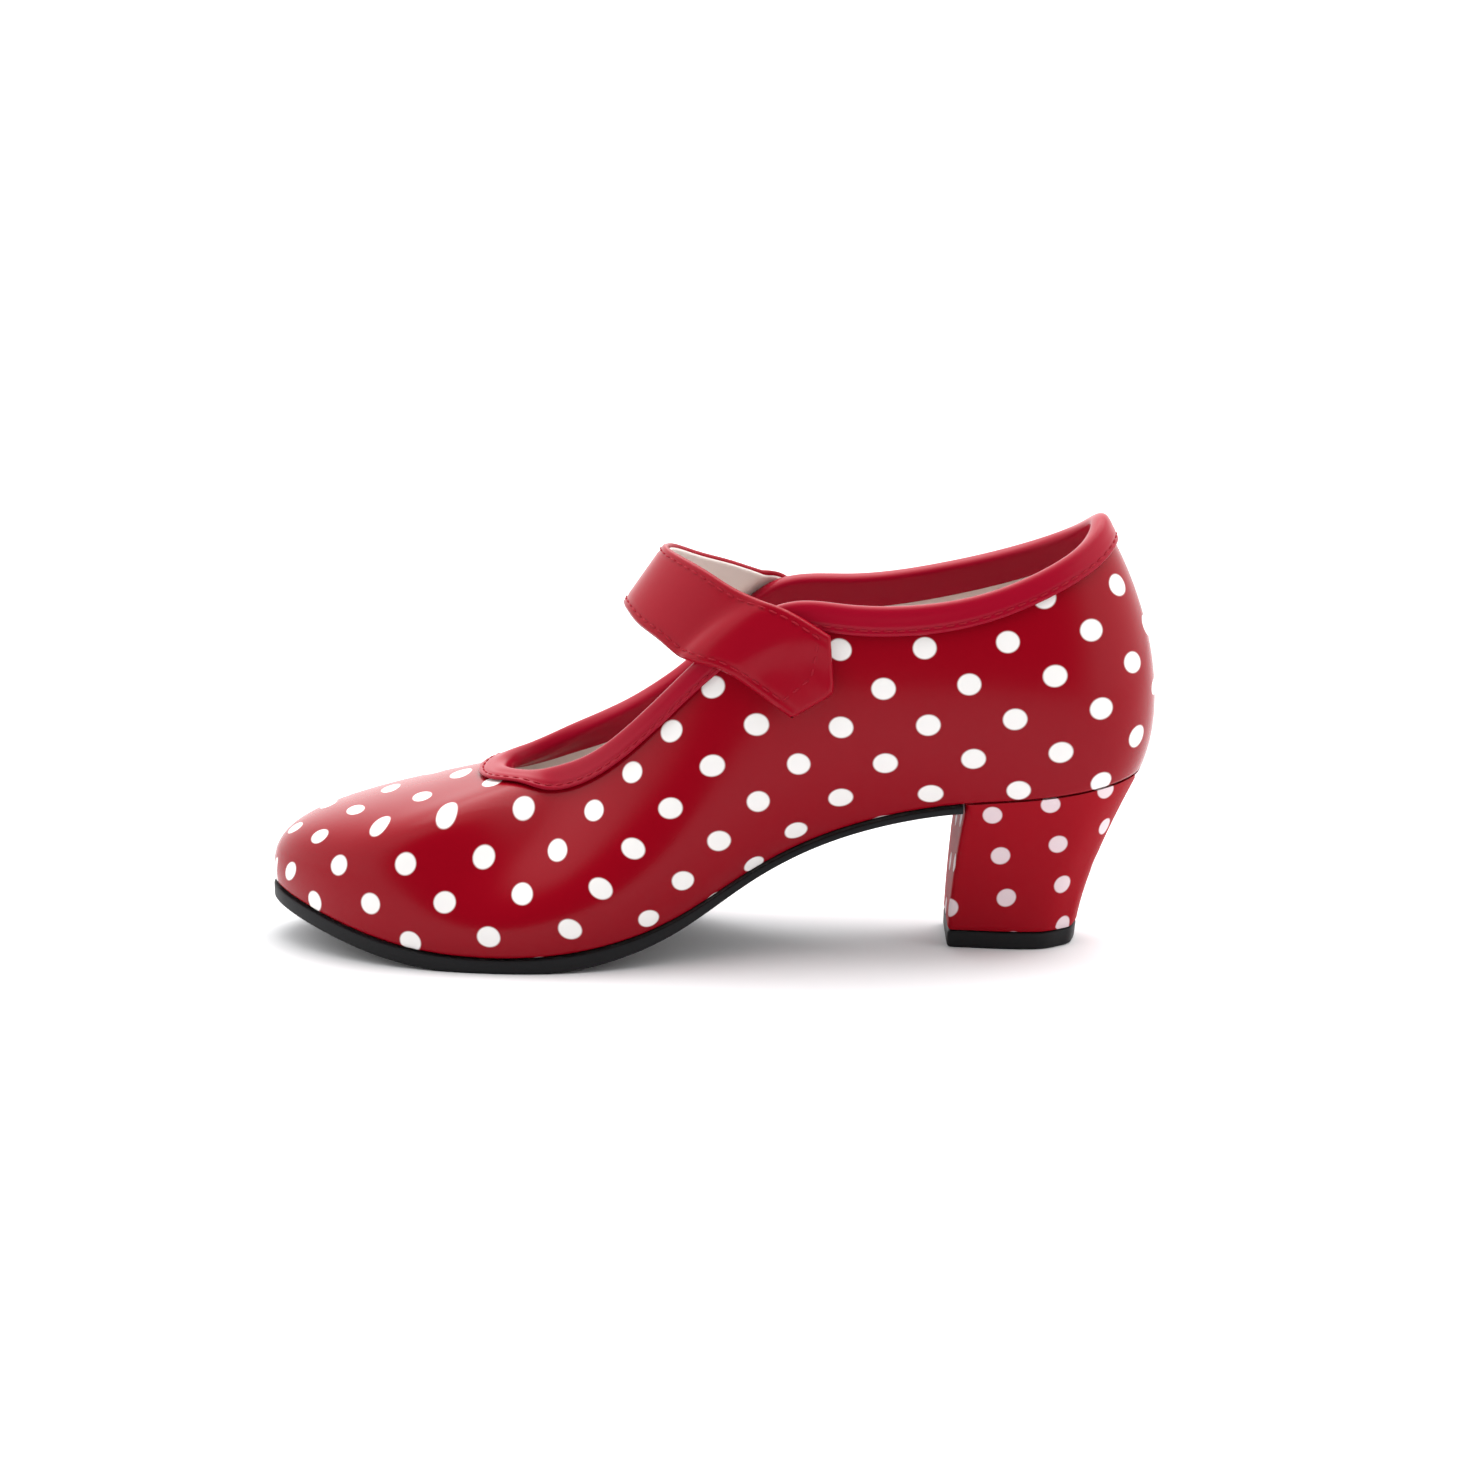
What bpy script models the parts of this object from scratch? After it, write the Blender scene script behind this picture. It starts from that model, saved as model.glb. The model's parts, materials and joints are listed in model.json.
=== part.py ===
"""A left flamenco shoe for a child: dotted court upper on a block heel, with a strap over the instep.

The shoe stands on the floor at z = 0. The toe points along -X, the outer side of the foot is -Y, and
the origin is the middle of the flat face under the heel. Everything is worked out from the last: its
length, its widths at ball and seat, its heel height and the depth of the upper.
"""

from collections import namedtuple

import bmesh
import bpy
import numpy as np
from mathutils import Vector
from mathutils.bvhtree import BVHTree

# The last, in metres
LENGTH = 0.2066
COUNTER_OVERHANG = 0.0339
BALL_WIDTH = 0.0712
SEAT_WIDTH = 0.0444
HEEL_HEIGHT = 0.0360
TOE_SPRING = 0.0093
COLLAR_WIDTH = 0.0480
COLLAR_DEPTH = 0.0596
THROAT_DEPTH = 0.0380

# Walls and layers
GAP = 0.0003
WALL = 0.0018
OUTSOLE_THICKNESS = 0.0030
OUTSOLE_WAIST = 0.0012
BALL_FLAT_DEPTH = 0.0005
OUTSOLE_MARGIN = 0.0006
OUTSOLE_EDGE_ROUND = 0.0007
INSOLE_THICKNESS = 0.0025
INSOLE_CLEARANCE = 0.0006

# Collar binding, folded over the topline
BINDING_THICKNESS = 0.0009
BINDING_DEPTH = 0.0057
BINDING_INSIDE_DEPTH = 0.0068

# Heel block and its top piece
HEEL_FRONT = 0.0140
HEEL_BACK = 0.0165
HEEL_BOTTOM_WIDTH = 0.0262
HEEL_FLARE = 1.60
TOP_PIECE_THICKNESS = 0.0040

# Strap
STRAP_WIDTH = 0.0200
STRAP_THICKNESS = 0.0020
STRAP_POINT = 0.0062
STRAP_CLEARANCE = 0.0007
TOPLINE_REACH = 0.0025

# How far below the topline the strap starts to come down off the binding, as a share of BINDING_DEPTH
STRAP_SETTLES = 1.3

# Where the length changes from seat sizes to ball sizes, as shares of LENGTH
WAIST_STARTS = 0.35
BALL_STARTS = 0.65
BREAST_ALONG = 0.2145

# Fineness of the meshes
RING_STEPS = 88
WALL_STEPS = 12
SOLE_STATIONS = 34
HEEL_STATIONS = 16
HEEL_LEVELS = 8
STRAP_STEPS = 40
STRAP_COLUMNS = 5
FOLD_STEPS = 5
SEARCH_STEPS = 60
MERGE = 1e-6
SHARP_ANGLE = 0.7

# The bottom of the last, from the seat to the toe. Along is a share of LENGTH from the back. Heel is a
# share of the rise to the breast, and toe a share of TOE_SPRING.
Level = namedtuple("Level", "along heel toe")
BOTTOM_LEVELS = [
    Level(0.000, 1.190, 0.00),
    Level(0.120, 1.060, 0.00),
    Level(0.221, 1.000, 0.00),
    Level(0.300, 0.900, 0.00),
    Level(0.375, 0.742, 0.00),
    Level(0.455, 0.500, 0.00),
    Level(0.530, 0.235, 0.00),
    Level(0.600, 0.085, 0.00),
    Level(0.667, 0.018, 0.00),
    Level(0.735, 0.000, 0.00),
    Level(0.800, 0.000, 0.06),
    Level(0.870, 0.000, 0.30),
    Level(0.940, 0.000, 0.69),
    Level(1.000, 0.000, 1.02),
]

# The upper, once around the last. Foot is where a section leaves the sole, top is where it ends at the
# topline. Along is a share of LENGTH, foot_side of half the last's width there, top_side of half
# COLLAR_WIDTH, and top_depth of the depth of the upper there. Bulge and rise say how the wall leaves the
# sole, reach and drop how it comes to the topline, bulge and reach as shares of the half width, rise and
# drop as shares of the depth.
Section = namedtuple(
    "Section", "name foot_along foot_side top_along top_side top_depth bulge rise reach drop"
)
SECTIONS = [
    Section("back", 0.014, 0.00, 0.063, 0.00, 1.000, 0.29, 0.24, 0.54, 0.32),
    Section("outer back", 0.045, -0.72, 0.087, -0.53, 0.930, 0.27, 0.23, 0.40, 0.30),
    Section("outer seat", 0.125, -0.97, 0.159, -0.83, 0.832, 0.26, 0.24, 0.31, 0.30),
    Section("outer quarter", 0.232, -0.90, 0.251, -0.94, 0.789, 0.38, 0.24, 0.20, 0.30),
    Section("outer waist", 0.348, -0.76, 0.348, -0.98, 0.876, 0.62, 0.25, 0.20, 0.28),
    Section("outer strap", 0.445, -0.73, 0.420, -1.00, 1.033, 0.60, 0.27, 0.20, 0.28),
    Section("outer shank", 0.513, -0.82, 0.484, -1.01, 1.148, 0.42, 0.30, 0.18, 0.34),
    Section("outer instep", 0.580, -0.91, 0.549, -0.94, 1.186, 0.28, 0.33, 0.17, 0.45),
    Section("outer ball", 0.667, -0.99, 0.614, -0.77, 1.105, 0.20, 0.38, 0.20, 0.46),
    Section("outer toe root", 0.764, -0.97, 0.663, -0.54, 1.016, 0.16, 0.42, 0.31, 0.45),
    Section("outer toe", 0.871, -0.77, 0.699, -0.38, 0.970, 0.13, 0.50, 0.79, 0.14),
    Section("outer tip", 0.955, -0.40, 0.727, -0.20, 0.965, 0.11, 0.46, 1.04, 0.20),
    Section("tip", 0.996, 0.085, 0.735, 0.06, 0.965, 0.09, 0.43, 1.18, 0.24),
    Section("inner tip", 0.953, 0.52, 0.730, 0.31, 0.990, 0.11, 0.44, 1.00, 0.26),
    Section("inner toe", 0.866, 0.79, 0.703, 0.53, 1.025, 0.13, 0.44, 0.62, 0.29),
    Section("inner toe root", 0.764, 0.92, 0.657, 0.65, 1.110, 0.15, 0.42, 0.40, 0.34),
    Section("inner ball", 0.658, 0.88, 0.602, 0.80, 1.137, 0.19, 0.40, 0.28, 0.38),
    Section("inner instep", 0.561, 0.76, 0.554, 0.94, 1.098, 0.27, 0.34, 0.27, 0.34),
    Section("inner shank", 0.474, 0.67, 0.503, 1.01, 1.062, 0.42, 0.29, 0.20, 0.32),
    Section("inner strap", 0.392, 0.66, 0.435, 1.01, 1.026, 0.55, 0.27, 0.20, 0.28),
    Section("inner waist", 0.300, 0.74, 0.343, 1.00, 0.859, 0.52, 0.25, 0.18, 0.28),
    Section("inner quarter", 0.203, 0.90, 0.242, 0.925, 0.816, 0.34, 0.24, 0.20, 0.30),
    Section("inner seat", 0.116, 0.94, 0.154, 0.80, 0.863, 0.25, 0.25, 0.31, 0.30),
    Section("inner back", 0.043, 0.67, 0.087, 0.52, 0.938, 0.27, 0.23, 0.40, 0.30),
]

# The strap, from its point on the outer quarter over the instep to its sewn end on the inner quarter.
# Rear and front are its two edges: along towards the heel and up, as shares of STRAP_WIDTH, from the outer
# collar where the strap crosses it. Side is a share of half COLLAR_WIDTH. Laid is 1 where the strap lies
# on the quarter and 0 where it is free.
Fold = namedtuple("Fold", "name rear_along rear_up front_along front_up side laid")
STRAP_FOLDS = [
    Fold("shoulders", 0.565, -0.248, 0.13, -1.183, -1.25, 1.0),
    Fold("fastening", 0.27, -0.068, -0.325, -0.863, -1.19, 1.0),
    Fold("outer collar", -0.075, 0.087, -0.77, -0.623, -1.125, 1.0),
    Fold("outer slope", -0.455, 0.205, -1.085, -0.583, -0.98, 0.0),
    Fold("outer rise", -0.81, 0.38, -1.39, -0.40, -0.78, 0.0),
    Fold("outer instep", -1.095, 0.495, -1.655, -0.255, -0.52, 0.0),
    Fold("outer crest", -1.28, 0.55, -1.79, -0.155, -0.26, 0.0),
    Fold("crest", -1.345, 0.57, -1.84, -0.133, 0.00, 0.0),
    Fold("inner crest", -1.265, 0.53, -1.77, -0.173, 0.27, 0.0),
    Fold("inner instep", -1.00, 0.39, -1.52, -0.323, 0.54, 0.0),
    Fold("inner rise", -0.62, 0.235, -1.155, -0.463, 0.80, 0.0),
    Fold("inner slope", -0.26, 0.085, -0.83, -0.633, 0.98, 0.0),
    Fold("inner collar", 0.075, -0.053, -0.525, -0.823, 1.12, 1.0),
    Fold("inner quarter", 0.33, -0.233, -0.24, -1.033, 1.17, 1.0),
    Fold("sewn end", 0.58, -0.433, 0.02, -1.223, 1.20, 1.0),
]

# The outline of the heel's bottom, from the breast to the back. Along is a share of its length and side
# of its half width.
Plan = namedtuple("Plan", "along side")
HEEL_PLAN = [
    Plan(0.00, 0.84),
    Plan(0.18, 0.90),
    Plan(0.40, 0.975),
    Plan(0.60, 1.00),
    Plan(0.78, 0.90),
    Plan(0.90, 0.68),
    Plan(0.97, 0.38),
    Plan(1.00, 0.00),
]

# Finishes: colour, roughness and metallic value
Finish = namedtuple("Finish", "colour roughness metallic")
FINISHES = {
    "upper": Finish((0.35, 0.004, 0.012), 0.28, 0.0),
    "collar_binding": Finish((0.42, 0.008, 0.022), 0.30, 0.0),
    "strap": Finish((0.42, 0.008, 0.022), 0.28, 0.0),
    "heel": Finish((0.34, 0.006, 0.016), 0.32, 0.0),
    "insole": Finish((0.55, 0.44, 0.36), 0.75, 0.0),
    "outsole": Finish((0.016, 0.016, 0.017), 0.55, 0.0),
    "heel_top_piece": Finish((0.016, 0.016, 0.017), 0.60, 0.0),
}


def clear_scene():
    for obj in list(bpy.data.objects):
        bpy.data.objects.remove(obj, do_unlink=True)


def material_for(name):
    finish = FINISHES[name]
    material = bpy.data.materials.new(name)
    material.use_nodes = True
    shader = material.node_tree.nodes["Principled BSDF"]
    shader.inputs["Base Color"].default_value = (*finish.colour, 1.0)
    shader.inputs["Roughness"].default_value = finish.roughness
    shader.inputs["Metallic"].default_value = finish.metallic
    return material


def add_piece(collection, name, points, faces):
    """One named object from points and faces, with its doubles merged and its faces turned outwards."""
    mesh = bpy.data.meshes.new(name)
    mesh.from_pydata([tuple(point) for point in points], [], [tuple(face) for face in faces])
    shape = bmesh.new()
    shape.from_mesh(mesh)
    bmesh.ops.remove_doubles(shape, verts=shape.verts, dist=MERGE)
    bmesh.ops.dissolve_degenerate(shape, edges=shape.edges, dist=MERGE)
    bmesh.ops.recalc_face_normals(shape, faces=shape.faces)
    shape.to_mesh(mesh)
    shape.free()
    mesh.materials.append(material_for(name))
    mesh.shade_smooth()
    mesh.set_sharp_from_angle(angle=SHARP_ANGLE)
    piece = bpy.data.objects.new(name, mesh)
    collection.objects.link(piece)
    return piece


def smooth_step(value):
    """0 below 0, 1 above 1, and a soft S between."""
    value = np.clip(value, 0.0, 1.0)
    return value * value * (3.0 - 2.0 * value)


def spline(knots, values, at, period=None):
    """Cubic spline through the values at the knots, natural at its ends, or closed over the period."""
    knots = np.asarray(knots, float)
    values = np.asarray(values, float)
    closed = period is not None
    if closed:
        knots = np.append(knots, knots[0] + period)
        values = np.concatenate([values, values[:1]])
        at = knots[0] + np.mod(np.asarray(at, float) - knots[0], period)
    count = len(knots)
    step = np.diff(knots)
    slope = np.diff(values, axis=0) / step.reshape(-1, *[1] * (values.ndim - 1))
    matrix = np.eye(count)
    target = np.zeros_like(values)
    for row in range(1, count - 1):
        matrix[row, row - 1 : row + 2] = step[row - 1], 2.0 * (step[row - 1] + step[row]), step[row]
        target[row] = 6.0 * (slope[row] - slope[row - 1])
    if closed:
        matrix[0, -1] = -1.0
        matrix[-1] = 0.0
        matrix[-1, [0, 1]] = 2.0 * step[0], step[0]
        matrix[-1, [-2, -1]] += step[-1], 2.0 * step[-1]
        target[-1] = 6.0 * (slope[0] - slope[-1])
    bend = np.linalg.solve(matrix, target.reshape(count, -1)).reshape(values.shape)
    at = np.asarray(at, float)
    left = np.clip(np.searchsorted(knots, at, side="right") - 1, 0, count - 2)
    shape = at.shape + (1,) * (values.ndim - 1)
    width = step[left].reshape(shape)
    b = (at - knots[left]).reshape(shape) / width
    a = 1.0 - b
    curve = ((a**3 - a) * bend[left] + (b**3 - b) * bend[left + 1]) * width**2 / 6.0
    return a * values[left] + b * values[left + 1] + curve


def x_at(along):
    return COUNTER_OVERHANG - np.asarray(along) * LENGTH


def between(along, at_seat, at_ball):
    """A size that changes from its value at the seat to its value at the ball through the waist."""
    share = smooth_step((np.asarray(along) - WAIST_STARTS) / (BALL_STARTS - WAIST_STARTS))
    return at_seat + (at_ball - at_seat) * share


def bottom_height(x):
    """Height of the feather line, where the upper meets the sole, at each x."""
    ball = OUTSOLE_THICKNESS + GAP
    levels = np.array(BOTTOM_LEVELS)
    heights = ball + (HEEL_HEIGHT - ball) * levels[:, 1] + TOE_SPRING * levels[:, 2]
    along = (COUNTER_OVERHANG - np.asarray(x)) / LENGTH
    return spline(levels[:, 0], heights, np.clip(along, 0.0, 1.0))


def last_ring(steps):
    """The sections spread evenly once around the feather line, as arrays by name."""
    table = np.array([section[1:] for section in SECTIONS])
    foot = np.stack(
        [x_at(table[:, 0]), table[:, 1] * between(table[:, 0], SEAT_WIDTH, BALL_WIDTH) / 2.0], axis=1
    )
    half = between(table[:, 0], SEAT_WIDTH, BALL_WIDTH) / 2.0
    depth = between(table[:, 2], COLLAR_DEPTH, THROAT_DEPTH)
    columns = np.column_stack(
        [
            foot,
            x_at(table[:, 2]),
            table[:, 3] * COLLAR_WIDTH / 2.0,
            bottom_height(x_at(table[:, 2])) + table[:, 4] * depth,
            table[:, 5] * half,
            table[:, 6] * depth,
            table[:, 7] * half,
            table[:, 8] * depth,
        ]
    )
    chords = np.linalg.norm(np.roll(foot, -1, axis=0) - foot, axis=1)
    knots = np.concatenate([[0.0], np.cumsum(chords)[:-1]])
    around = np.arange(steps) / steps * chords.sum()
    values = spline(knots, columns, around, period=chords.sum())
    names = ("foot_x", "foot_y", "top_x", "top_y", "top_z", "bulge", "rise", "reach", "drop")
    ring = dict(zip(names, values.T))
    ahead = np.roll(values[:, :2], -1, axis=0) - np.roll(values[:, :2], 1, axis=0)
    ahead /= np.linalg.norm(ahead, axis=1, keepdims=True)
    ring["out"] = np.stack([ahead[:, 1], -ahead[:, 0]], axis=1)
    if ring["out"][0, 0] < 0.0:
        ring["out"] = -ring["out"]
    return ring


def upper_surface(ring, shares):
    """The outer face of the upper: a Bezier curve from foot to topline for each place around the last.
    Points come as an array of places around, shares up the wall, and x, y, z."""
    foot = np.column_stack([ring["foot_x"], ring["foot_y"], bottom_height(ring["foot_x"])])
    top = np.column_stack([ring["top_x"], ring["top_y"], ring["top_z"]])
    out = np.column_stack([ring["out"], np.zeros(len(foot))])
    up = np.array([0.0, 0.0, 1.0])
    low = foot + out * ring["bulge"][:, None] + up * ring["rise"][:, None]
    high = top + out * ring["reach"][:, None] - up * ring["drop"][:, None]
    t = np.asarray(shares)[None, :, None]
    return (
        (1 - t) ** 3 * foot[:, None]
        + 3 * (1 - t) ** 2 * t * low[:, None]
        + 3 * (1 - t) * t**2 * high[:, None]
        + t**3 * top[:, None]
    )


def ring_faces(around, up, closed=True):
    """Quads of a grid of places around by points up, closed around where asked."""
    i, j = np.meshgrid(np.arange(around if closed else around - 1), np.arange(up - 1), indexing="ij")
    k = (i + 1) % around
    return np.stack([i * up + j, k * up + j, k * up + j + 1, i * up + j + 1], axis=-1).reshape(-1, 4)


def topline_bands(ring, depths):
    """Points of the upper's outer face at depths below the topline, measured along the wall, with the
    outward normal and the direction up the wall at each. Negative depths run on past the topline."""
    shares = np.linspace(0.0, 1.0, SEARCH_STEPS)
    wall = upper_surface(ring, shares)
    lengths = np.linalg.norm(np.diff(wall, axis=1), axis=2)
    below = np.concatenate([np.cumsum(lengths[:, ::-1], axis=1)[:, ::-1], np.zeros((len(wall), 1))], axis=1)
    depths = np.asarray(depths, float)
    held = np.maximum(depths, 0.0)
    share = np.stack([np.interp(held, row[::-1], shares[::-1]) for row in below])
    place = share * (len(shares) - 1)
    left = np.clip(place.astype(int), 0, len(shares) - 2)
    part = (place - left)[..., None]
    rows = np.arange(len(wall))[:, None]
    points = wall[rows, left] * (1 - part) + wall[rows, left + 1] * part
    up = wall[rows, left + 1] - wall[rows, left]
    up /= np.linalg.norm(up, axis=2, keepdims=True)
    ahead = np.roll(points, -1, axis=0) - np.roll(points, 1, axis=0)
    normal = np.cross(ahead, up)
    normal /= np.linalg.norm(normal, axis=2, keepdims=True)
    outwards = np.column_stack([ring["out"], np.zeros(len(wall))])
    normal *= np.sign(np.einsum("ik,ik->i", normal[:, 0], outwards))[:, None, None]
    points = points - up * np.minimum(depths, 0.0)[None, :, None]
    return points, normal, up


def add_upper(collection):
    shares = np.linspace(0.0, 1.0, WALL_STEPS + 1)
    points = upper_surface(last_ring(RING_STEPS), shares)
    faces = ring_faces(RING_STEPS, len(shares))
    piece = add_piece(collection, "upper", points.reshape(-1, 3), faces)
    face_outwards(piece)
    wall = piece.modifiers.new("wall", "SOLIDIFY")
    wall.thickness = WALL
    wall.offset = -1.0
    return piece


def face_outwards(piece):
    """Turns the faces of an open sheet around the last so that they point away from its middle."""
    mesh = piece.data
    low = min(mesh.polygons, key=lambda face: face.center.z)
    if low.normal.z > 0.0 or sum(face.normal.y * face.center.y for face in mesh.polygons) < 0.0:
        mesh.flip_normals()


def outline(offset, steps=1440):
    """The feather line moved outwards by offset: its two branches from back to tip, each as x and y."""
    ring = last_ring(steps)
    x = ring["foot_x"] + ring["out"][:, 0] * offset
    y = ring["foot_y"] + ring["out"][:, 1] * offset
    back = int(np.argmax(x))
    x, y = np.roll(x, -back), np.roll(y, -back)
    tip = int(np.argmin(x))
    outer = x[: tip + 1], y[: tip + 1]
    inner = np.append(x[tip:], x[0])[::-1], np.append(y[tip:], y[0])[::-1]
    return outer, inner


def side_at(branch, x):
    """Where a branch of an outline crosses each x. Its x falls from back to tip."""
    return np.interp(-np.asarray(x), -branch[0], branch[1])


def plate(offsets, heights, stations, back_x=None, columns=5):
    """A sole layer: rings of points across the shoe at stations from the tip to the back, with one
    offset and one height function for each level from its lower face to its upper one. The tip closes
    to a line, and so does the back, unless back_x cuts it off."""
    across = np.linspace(0.0, 1.0, columns)
    edges = []
    for offset, height in zip(offsets, heights):
        outer, inner = outline(offset)
        tip, back = outer[0][-1], outer[0][0]
        end = back if back_x is None else back_x
        x = tip + (end - tip) * stations
        edges.append((x, side_at(outer, x), side_at(inner, x), height(x)))
    rings = []
    for level, (x, outer, inner, z) in enumerate(edges):
        if level in (0, len(edges) - 1):
            y = outer[:, None] + (inner - outer)[:, None] * across
            row = np.stack([np.broadcast_to(x[:, None], y.shape), y, z[:, None] + 0.0 * y], axis=-1)
            rings.append(row if level == 0 else row[:, ::-1])
        else:
            rings.append(np.stack([x, inner, z], axis=-1)[:, None])
    for x, outer, inner, z in edges[-2:0:-1]:
        rings.append(np.stack([x, outer, z], axis=-1)[:, None])
    points = np.concatenate(rings, axis=1)
    around = points.shape[1]
    faces = [tuple(face) for face in closed_strip_faces(len(stations), around)]
    if back_x is not None:
        faces.append(tuple(range((len(stations) - 1) * around, len(stations) * around)))
    return points.reshape(-1, 3), faces


def closed_strip_faces(stations, around):
    """Quads between rings of points, one ring for each station."""
    i, j = np.meshgrid(np.arange(stations - 1), np.arange(around), indexing="ij")
    k = (j + 1) % around
    corners = [i * around + j, i * around + k, (i + 1) * around + k, (i + 1) * around + j]
    return np.stack(corners, axis=-1).reshape(-1, 4)


def add_outsole(collection):
    """The rubber sole ends at the breast of the heel. It thins through the waist, and where its curve
    would reach below the floor under the ball it is flat."""

    def top(x):
        return bottom_height(x) - GAP

    def lower(x):
        along = (COUNTER_OVERHANG - x) / LENGTH
        thick = between(along, OUTSOLE_WAIST, OUTSOLE_THICKNESS)
        return np.maximum(top(x) - thick - BALL_FLAT_DEPTH, 0.0)

    def edge(x):
        return np.minimum(lower(x) + OUTSOLE_EDGE_ROUND, (lower(x) + top(x)) / 2.0)

    stations = 1.0 - np.cos(np.linspace(0.0, np.pi / 2.0, SOLE_STATIONS))
    offsets = [OUTSOLE_MARGIN - OUTSOLE_EDGE_ROUND, OUTSOLE_MARGIN, OUTSOLE_MARGIN]
    points, faces = plate(offsets, [lower, edge, top], stations, back_x=float(x_at(BREAST_ALONG)) - 2.0 * GAP)
    return add_piece(collection, "outsole", points, faces)


def add_insole(collection):
    """The insole fills the bottom of the upper from wall to wall and shows at the collar."""
    inset = -(WALL + GAP + INSOLE_CLEARANCE)

    def top(x):
        return bottom_height(x) + INSOLE_THICKNESS

    stations = (1.0 - np.cos(np.linspace(0.0, np.pi, SOLE_STATIONS))) / 2.0
    points, faces = plate([inset, inset], [bottom_height, top], stations)
    return add_piece(collection, "insole", points, faces)


def add_binding(collection):
    """The binding is a U in section: an outer flap, the fold over the topline and an inner flap."""
    ring = last_ring(RING_STEPS)
    outside = GAP + BINDING_THICKNESS
    inside = -(WALL + GAP)
    deep_inside = inside - BINDING_THICKNESS
    turn = np.linspace(0.0, np.pi, FOLD_STEPS)
    over = -outside * np.sin(turn)
    through = (outside + deep_inside) / 2.0 + (outside - deep_inside) / 2.0 * np.cos(turn)
    section = [
        (BINDING_DEPTH, GAP),
        (BINDING_DEPTH, outside),
        (BINDING_DEPTH / 2.0, outside),
        *zip(over, through),
        (BINDING_INSIDE_DEPTH / 2.0, deep_inside),
        (BINDING_INSIDE_DEPTH, deep_inside),
        (BINDING_INSIDE_DEPTH, inside),
        (BINDING_INSIDE_DEPTH / 2.0, inside),
        (-GAP, inside),
        (-GAP, GAP),
        (BINDING_DEPTH / 2.0, GAP),
    ]
    points, normal, _ = topline_bands(ring, [depth for depth, _ in section])
    points = points + normal * np.array([offset for _, offset in section])[None, :, None]
    faces = closed_grid_faces(RING_STEPS, len(section))
    return add_piece(collection, "collar_binding", points.reshape(-1, 3), faces)


def closed_grid_faces(rows, columns):
    """Quads of a grid that closes on itself both ways."""
    i, j = np.meshgrid(np.arange(rows), np.arange(columns), indexing="ij")
    k = (i + 1) % rows
    m = (j + 1) % columns
    corners = [i * columns + j, k * columns + j, k * columns + m, i * columns + m]
    return np.stack(corners, axis=-1).reshape(-1, 4)


def heel_sections(share):
    """The heel's outline at shares of its height, 0 at the floor and 1 at the seat: for each share and
    station, from the breast to the back, x and the outer and inner y."""
    stations = np.sin(np.linspace(0.0, np.pi / 2.0, HEEL_STATIONS))
    plan = np.array(HEEL_PLAN)
    side = np.maximum(spline(plan[:, 0], plan[:, 1], stations), 0.0) * HEEL_BOTTOM_WIDTH / 2.0
    side[-1] = 0.0
    low_x = -HEEL_FRONT + (HEEL_FRONT + HEEL_BACK) * stations
    outer, inner = outline(0.0)
    breast = float(x_at(BREAST_ALONG))
    high_x = breast + (outer[0][0] - breast) * stations
    high_outer, high_inner = side_at(outer, high_x), side_at(inner, high_x)
    share = np.asarray(share)[:, None]
    spread = share**HEEL_FLARE
    x = low_x + (high_x - low_x) * spread
    return x, -side + (high_outer + side) * spread, side + (high_inner - side) * spread


def heel_solid(sections, heights):
    """A block from outlines at rising levels, with both ends closed by strips across."""
    x, outer, inner = sections
    levels, stations = x.shape
    points = np.stack([np.stack([x, outer, heights], axis=-1), np.stack([x, inner, heights], axis=-1)], axis=2)
    index = np.arange(levels * stations * 2).reshape(levels, stations, 2)
    faces = []
    for side in (0, 1):
        wall = index[:, :, side]
        corners = [wall[:-1, :-1], wall[:-1, 1:], wall[1:, 1:], wall[1:, :-1]]
        faces.append(np.stack(corners, axis=-1).reshape(-1, 4))
    front = index[:, 0]
    faces.append(np.stack([front[:-1, 0], front[:-1, 1], front[1:, 1], front[1:, 0]], axis=-1))
    for level in (0, levels - 1):
        cap = index[level]
        faces.append(np.stack([cap[:-1, 0], cap[1:, 0], cap[1:, 1], cap[:-1, 1]], axis=-1))
    return points.reshape(-1, 3), np.concatenate(faces)


def add_heel(collection):
    """The block tapers from the seat of the last to the top piece, with an upright breast."""
    bottom = TOP_PIECE_THICKNESS + GAP
    share = np.linspace(bottom / HEEL_HEIGHT, 1.0, HEEL_LEVELS)
    x, outer, inner = heel_sections(share)
    seat = bottom_height(x[-1]) - GAP
    rise = np.linspace(0.0, 1.0, HEEL_LEVELS)[:, None]
    heights = bottom + (seat - bottom) * rise
    points, faces = heel_solid((x, outer, inner), heights)
    return add_piece(collection, "heel", points, faces)


def add_heel_top_piece(collection):
    """The rubber lift is flat on the floor and carries the heel's own taper up."""
    heights = np.array([0.0, TOP_PIECE_THICKNESS])
    x, outer, inner = heel_sections(heights / HEEL_HEIGHT)
    levels = np.broadcast_to(heights[:, None], x.shape)
    points, faces = heel_solid((x, outer, inner), levels)
    return add_piece(collection, "heel_top_piece", points, faces)


def quarter_tree():
    """The upper's outer face for finding the nearest place on it, and the depth below the topline at
    each of its faces."""
    shares = np.linspace(0.0, 1.0, SEARCH_STEPS // 2 + 1)
    ring = last_ring(RING_STEPS * 2)
    wall = upper_surface(ring, shares)
    lengths = np.linalg.norm(np.diff(wall, axis=1), axis=2)
    below = np.cumsum(lengths[:, ::-1], axis=1)[:, ::-1]
    faces = ring_faces(len(wall), len(shares))
    tree = BVHTree.FromPolygons([Vector(point) for point in wall.reshape(-1, 3)], faces.tolist())
    return tree, below.reshape(-1)


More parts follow.
